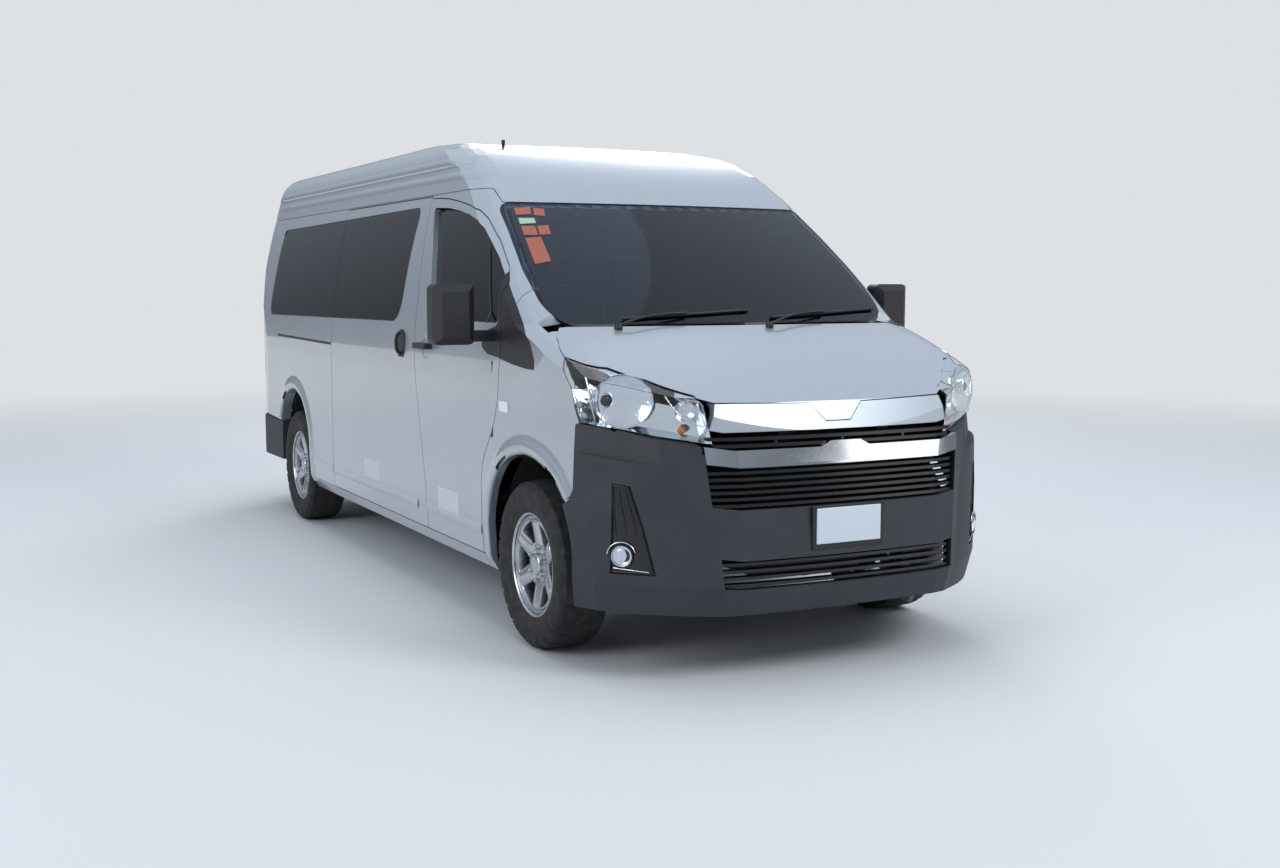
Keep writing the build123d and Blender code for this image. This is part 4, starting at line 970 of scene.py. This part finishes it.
# corner pixels of each patch in the photo
patches = [
    ([(514, 208), (530, 207), (531, 214), (516, 215)], orangePaper),
    ([(533, 208), (544, 209), (545, 216), (534, 215)], orangePaper),
    ([(518, 218), (534, 218), (536, 223), (520, 224)], greenPaper),
    ([(521, 226), (535, 226), (538, 235), (524, 235)], orangePaper),
    ([(537, 226), (548, 225), (551, 234), (540, 235)], orangePaper),
    ([(525, 238), (541, 237), (551, 261), (535, 264)], orangePaper),
]
for n, (pixels, paper) in enumerate(patches):
    drape("screenPatch%d" % n, frontOutline(pixels, screenTree), "front", paper, "body", 0.5, 0.3,
          0.05, screenTree)

# wipers parked along the foot of the windscreen
wiperLook = {"pivots": (-0.60, 0.12), "pivotZ": 1.345, "arm": ((0.22, 1.385, 26), (0.36, 1.392, 20)),
             "blade": 0.62, "bladeStart": 0.06, "bladeZ": 1.378, "bladeRise": 0.008}


def screenSpot(x, z, outMm):
    hit, normal = frontPoint(x, z, screenTree)
    return hit + normal * (outMm / 1000)


for n, x0 in enumerate(wiperLook["pivots"]):
    start = frontPoint(x0, wiperLook["pivotZ"])[0] + Vector((0, -0.004, 0.012))
    mid, end = (screenSpot(x0 + along, z, out) for along, z, out in wiperLook["arm"])
    arm = [start, start + Vector((0.03, -0.012, 0.018)), mid, end]
    tubePiece("wiperArm%d" % n, arm, 5, satinBlack, "body")
    blade = []
    for t in range(5):
        along = wiperLook["bladeStart"] + wiperLook["blade"] * t / 4
        blade.append(screenSpot(x0 + along, wiperLook["bladeZ"] + wiperLook["bladeRise"] * t, 9))
    tubePiece("wiperBlade%d" % n, blade, 6, satinBlack, "body")
    edge = [p + Vector((0, 0.004, -0.003)) for p in blade]
    tubePiece("wiperRubber%d" % n, edge, 3.4, rubber, "body")
    cap, skin = lathe([(0.012, 0.001), (0.012, 0.012), (0.004, 0.017), (-0.012, 0.018)], 24, "z", start)
    makeObject("wiperPivot%d" % n, meshFrom("wiperPivot%d" % n, cap, skin), satinBlack, "body")


# handles, markers, slot and patches on the sides
def onSide(places):
    return [(frontAxle + y, z) for y, z in places]


marker = onSide(rect(0.178, 0.272, 0.985, 1.03))
doorPatch = onSide(rect(0.80, 1.09, 0.447, 0.56))
quarterBar = onSide([(0.447, 1.36), (0.463, 1.36), (0.609, 1.728), (0.593, 1.728)])
railSlot = onSide([(2.98, 1.172), (4.30, 1.186), (4.30, 1.20), (2.98, 1.186)])
handleWell = onSide([(1.60, 1.16), (1.68, 1.16), (1.70, 1.20), (1.70, 1.27), (1.67, 1.30), (1.61, 1.30),
                     (1.58, 1.27), (1.58, 1.20)])
sliderPatch = onSide(rect(2.03, 2.32, 0.465, 0.572))
for side, word in ((-1, "Right"), (1, "Left")):
    drape("sideMarker" + word, marker, side, whiteCover, "body", 4, 0.3, 0.03)
    drape("doorPatch" + word, doorPatch, side, patchFilm, "door_" + word.lower(), 0.5, 0.3, 0.05)
drape("railSlot", railSlot, -1, satinBlack, "body", 1.6, 0.3, 0.06)
drape("sliderHandleWell", handleWell, -1, satinBlack, "body", 1.5, 0.3, 0.03)
hit, normal = sidePoint(frontAxle + 1.64, 1.23, -1)
# how far the grip stands out, and how high, along its length
gripLook = [(0.006, -0.055), (0.026, -0.045), (0.03, 0.0), (0.026, 0.045), (0.006, 0.055)]
grip = [hit + Vector((-out, 0, up)) for out, up in gripLook]
tubePiece("sliderHandle", grip, 8, satinBlack, "body")
drape("sliderPatch", sliderPatch, -1, patchFilm, "body", 0.5, 0.3, 0.05)
for side, word in ((-1, "Right"), (1, "Left")):
    drape("quarterBar" + word, quarterBar, side, satinBlack, "door_" + word.lower(), 3, 0.4,
          0.05)

# flush closing piece where the bumper's upper corner meets the lamp
bumperTree = treeOf(["front_bumper"])
closing = [photoPoint(a, b, bumperTree)[0] for a, b in ((608, 430), (620, 433), (619, 452), (609, 450))]
for side, word in ((1, "Right"), (-1, "Left")):
    lifted = [Vector((q.x * side, q.y - 0.0012, q.z)) for q in closing]
    deep = [q + Vector((0, 0.003, 0)) for q in lifted]
    walls = [(0, 1, 2, 3), (7, 6, 5, 4)] + [(i, i + 4, (i + 1) % 4 + 4, (i + 1) % 4) for i in range(4)]
    closer = meshFrom("bumperCloser" + word, lifted + deep, walls)
    makeObject("bumperCloser" + word, closer, bumperPlastic, "body", smooth=False)
print("small pieces made")


# camera, light and floor

cameraData = bpy.data.cameras.new("camera")
cameraData.sensor_width = view["sensor"]
cameraData.lens = view["lens"]
cameraData.shift_y = view["lift"]
camera = bpy.data.objects.new("camera", cameraData)
bpy.context.collection.objects.link(camera)
camera.matrix_world = Matrix.Translation(view["place"]) @ Matrix(
    (turnedRight, turnedUp, back)).transposed().to_4x4()
bpy.context.scene.camera = camera

# The camera sees a pale backdrop; reflections see dimmer studio walls under a bright ceiling.
world = bpy.data.worlds.new("studio")
bpy.context.scene.world = world
world.use_nodes = True
skyTree = world.node_tree
sky = skyTree.nodes["Background"]
backdrop, backdropPower = toLinear("#E6E9EC"), 0.92
rays = addNode(skyTree, "ShaderNodeLightPath")
seen = addNode(skyTree, "ShaderNodeMath", {"operation": "MAXIMUM"},
               {0: rays.outputs["Is Camera Ray"], 1: rays.outputs["Is Transmission Ray"]})
towards = addNode(skyTree, "ShaderNodeTexCoord").outputs["Generated"]
heading = addNode(skyTree, "ShaderNodeSeparateXYZ", links={"Vector": towards})
span = {"From Min": 0.0, "From Max": 0.5, "To Min": 0.24, "To Max": 0.95}
ceiling = addNode(skyTree, "ShaderNodeMapRange", span, {"Value": heading.outputs["Z"]})
pick = addNode(skyTree, "ShaderNodeMix", {"B": backdropPower},
               {"Factor": seen.outputs["Value"], "A": ceiling.outputs["Result"]})
tint = addNode(skyTree, "ShaderNodeMix", {"data_type": "RGBA"}, {"Factor": seen.outputs["Value"]})
tint.inputs[6].default_value = toLinear("#CFDAE8")
tint.inputs[7].default_value = backdrop
skyTree.links.new(tint.outputs[2], sky.inputs["Color"])
skyTree.links.new(pick.outputs["Result"], sky.inputs["Strength"])
# place, size in metres and power in watts
lamps = {"key": ((4.5, -9.5, 8.0), 5.0, 520), "fill": ((-9.5, -4.0, 5.5), 6.0, 360),
         "top": ((0, 1.0, 9.0), 7.0, 300), "rim": ((5.0, 8.5, 6.0), 5.0, 300),
         "card": ((6.0, -9.0, 1.7), 3.4, 34)}
for name, (place, size, power) in lamps.items():
    light = bpy.data.lights.new(name, "AREA")
    light.shape = "DISK"
    light.size = size
    light.energy = power
    holder = bpy.data.objects.new(name, light)
    holder.location = place
    holder.rotation_euler = (Vector((0, 0, 0.9)) - Vector(place)).to_track_quat("-Z", "Y").to_euler()
    bpy.context.collection.objects.link(holder)
    holder.visible_glossy = name != "top"   # no round lamp shapes in the windscreen

# The floor fades into the backdrop with distance, so no edge of it shows.
floorMaterial, floorTree, floorShader, floorPlace = startMaterial("paleStudioFloor", finish["floor"], 0.8)
bumpBy(floorTree, floorShader, noiseField(floorTree, floorPlace, 8, 3).outputs["Fac"], 0.05, 0.001)
reach = addNode(floorTree, "ShaderNodeVectorMath", {"operation": "LENGTH"}, {0: floorPlace})
span = {"From Min": 5.0, "From Max": 15.0, "interpolation_type": "SMOOTHSTEP"}
fade = addNode(floorTree, "ShaderNodeMapRange", span, {"Value": reach.outputs["Value"]})
glow = addNode(floorTree, "ShaderNodeEmission", {"Color": backdrop, "Strength": backdropPower})
parts = {0: fade.outputs["Result"], 1: floorShader.outputs["BSDF"], 2: glow.outputs["Emission"]}
blend = addNode(floorTree, "ShaderNodeMixShader", links=parts)
floorOut = next(n for n in floorTree.nodes if n.type == "OUTPUT_MATERIAL")
floorTree.links.new(blend.outputs["Shader"], floorOut.inputs["Surface"])
corners = [(-90, -90, 0), (90, -90, 0), (90, 90, 0), (-90, 90, 0)]
floorObj = bpy.data.objects.new("floor", meshFrom("floor", corners, [(0, 1, 2, 3)]))
floorObj.data.materials.append(floorMaterial)
bpy.context.collection.objects.link(floorObj)
bpy.context.scene.view_settings.view_transform = "Standard"
print("camera and light set")
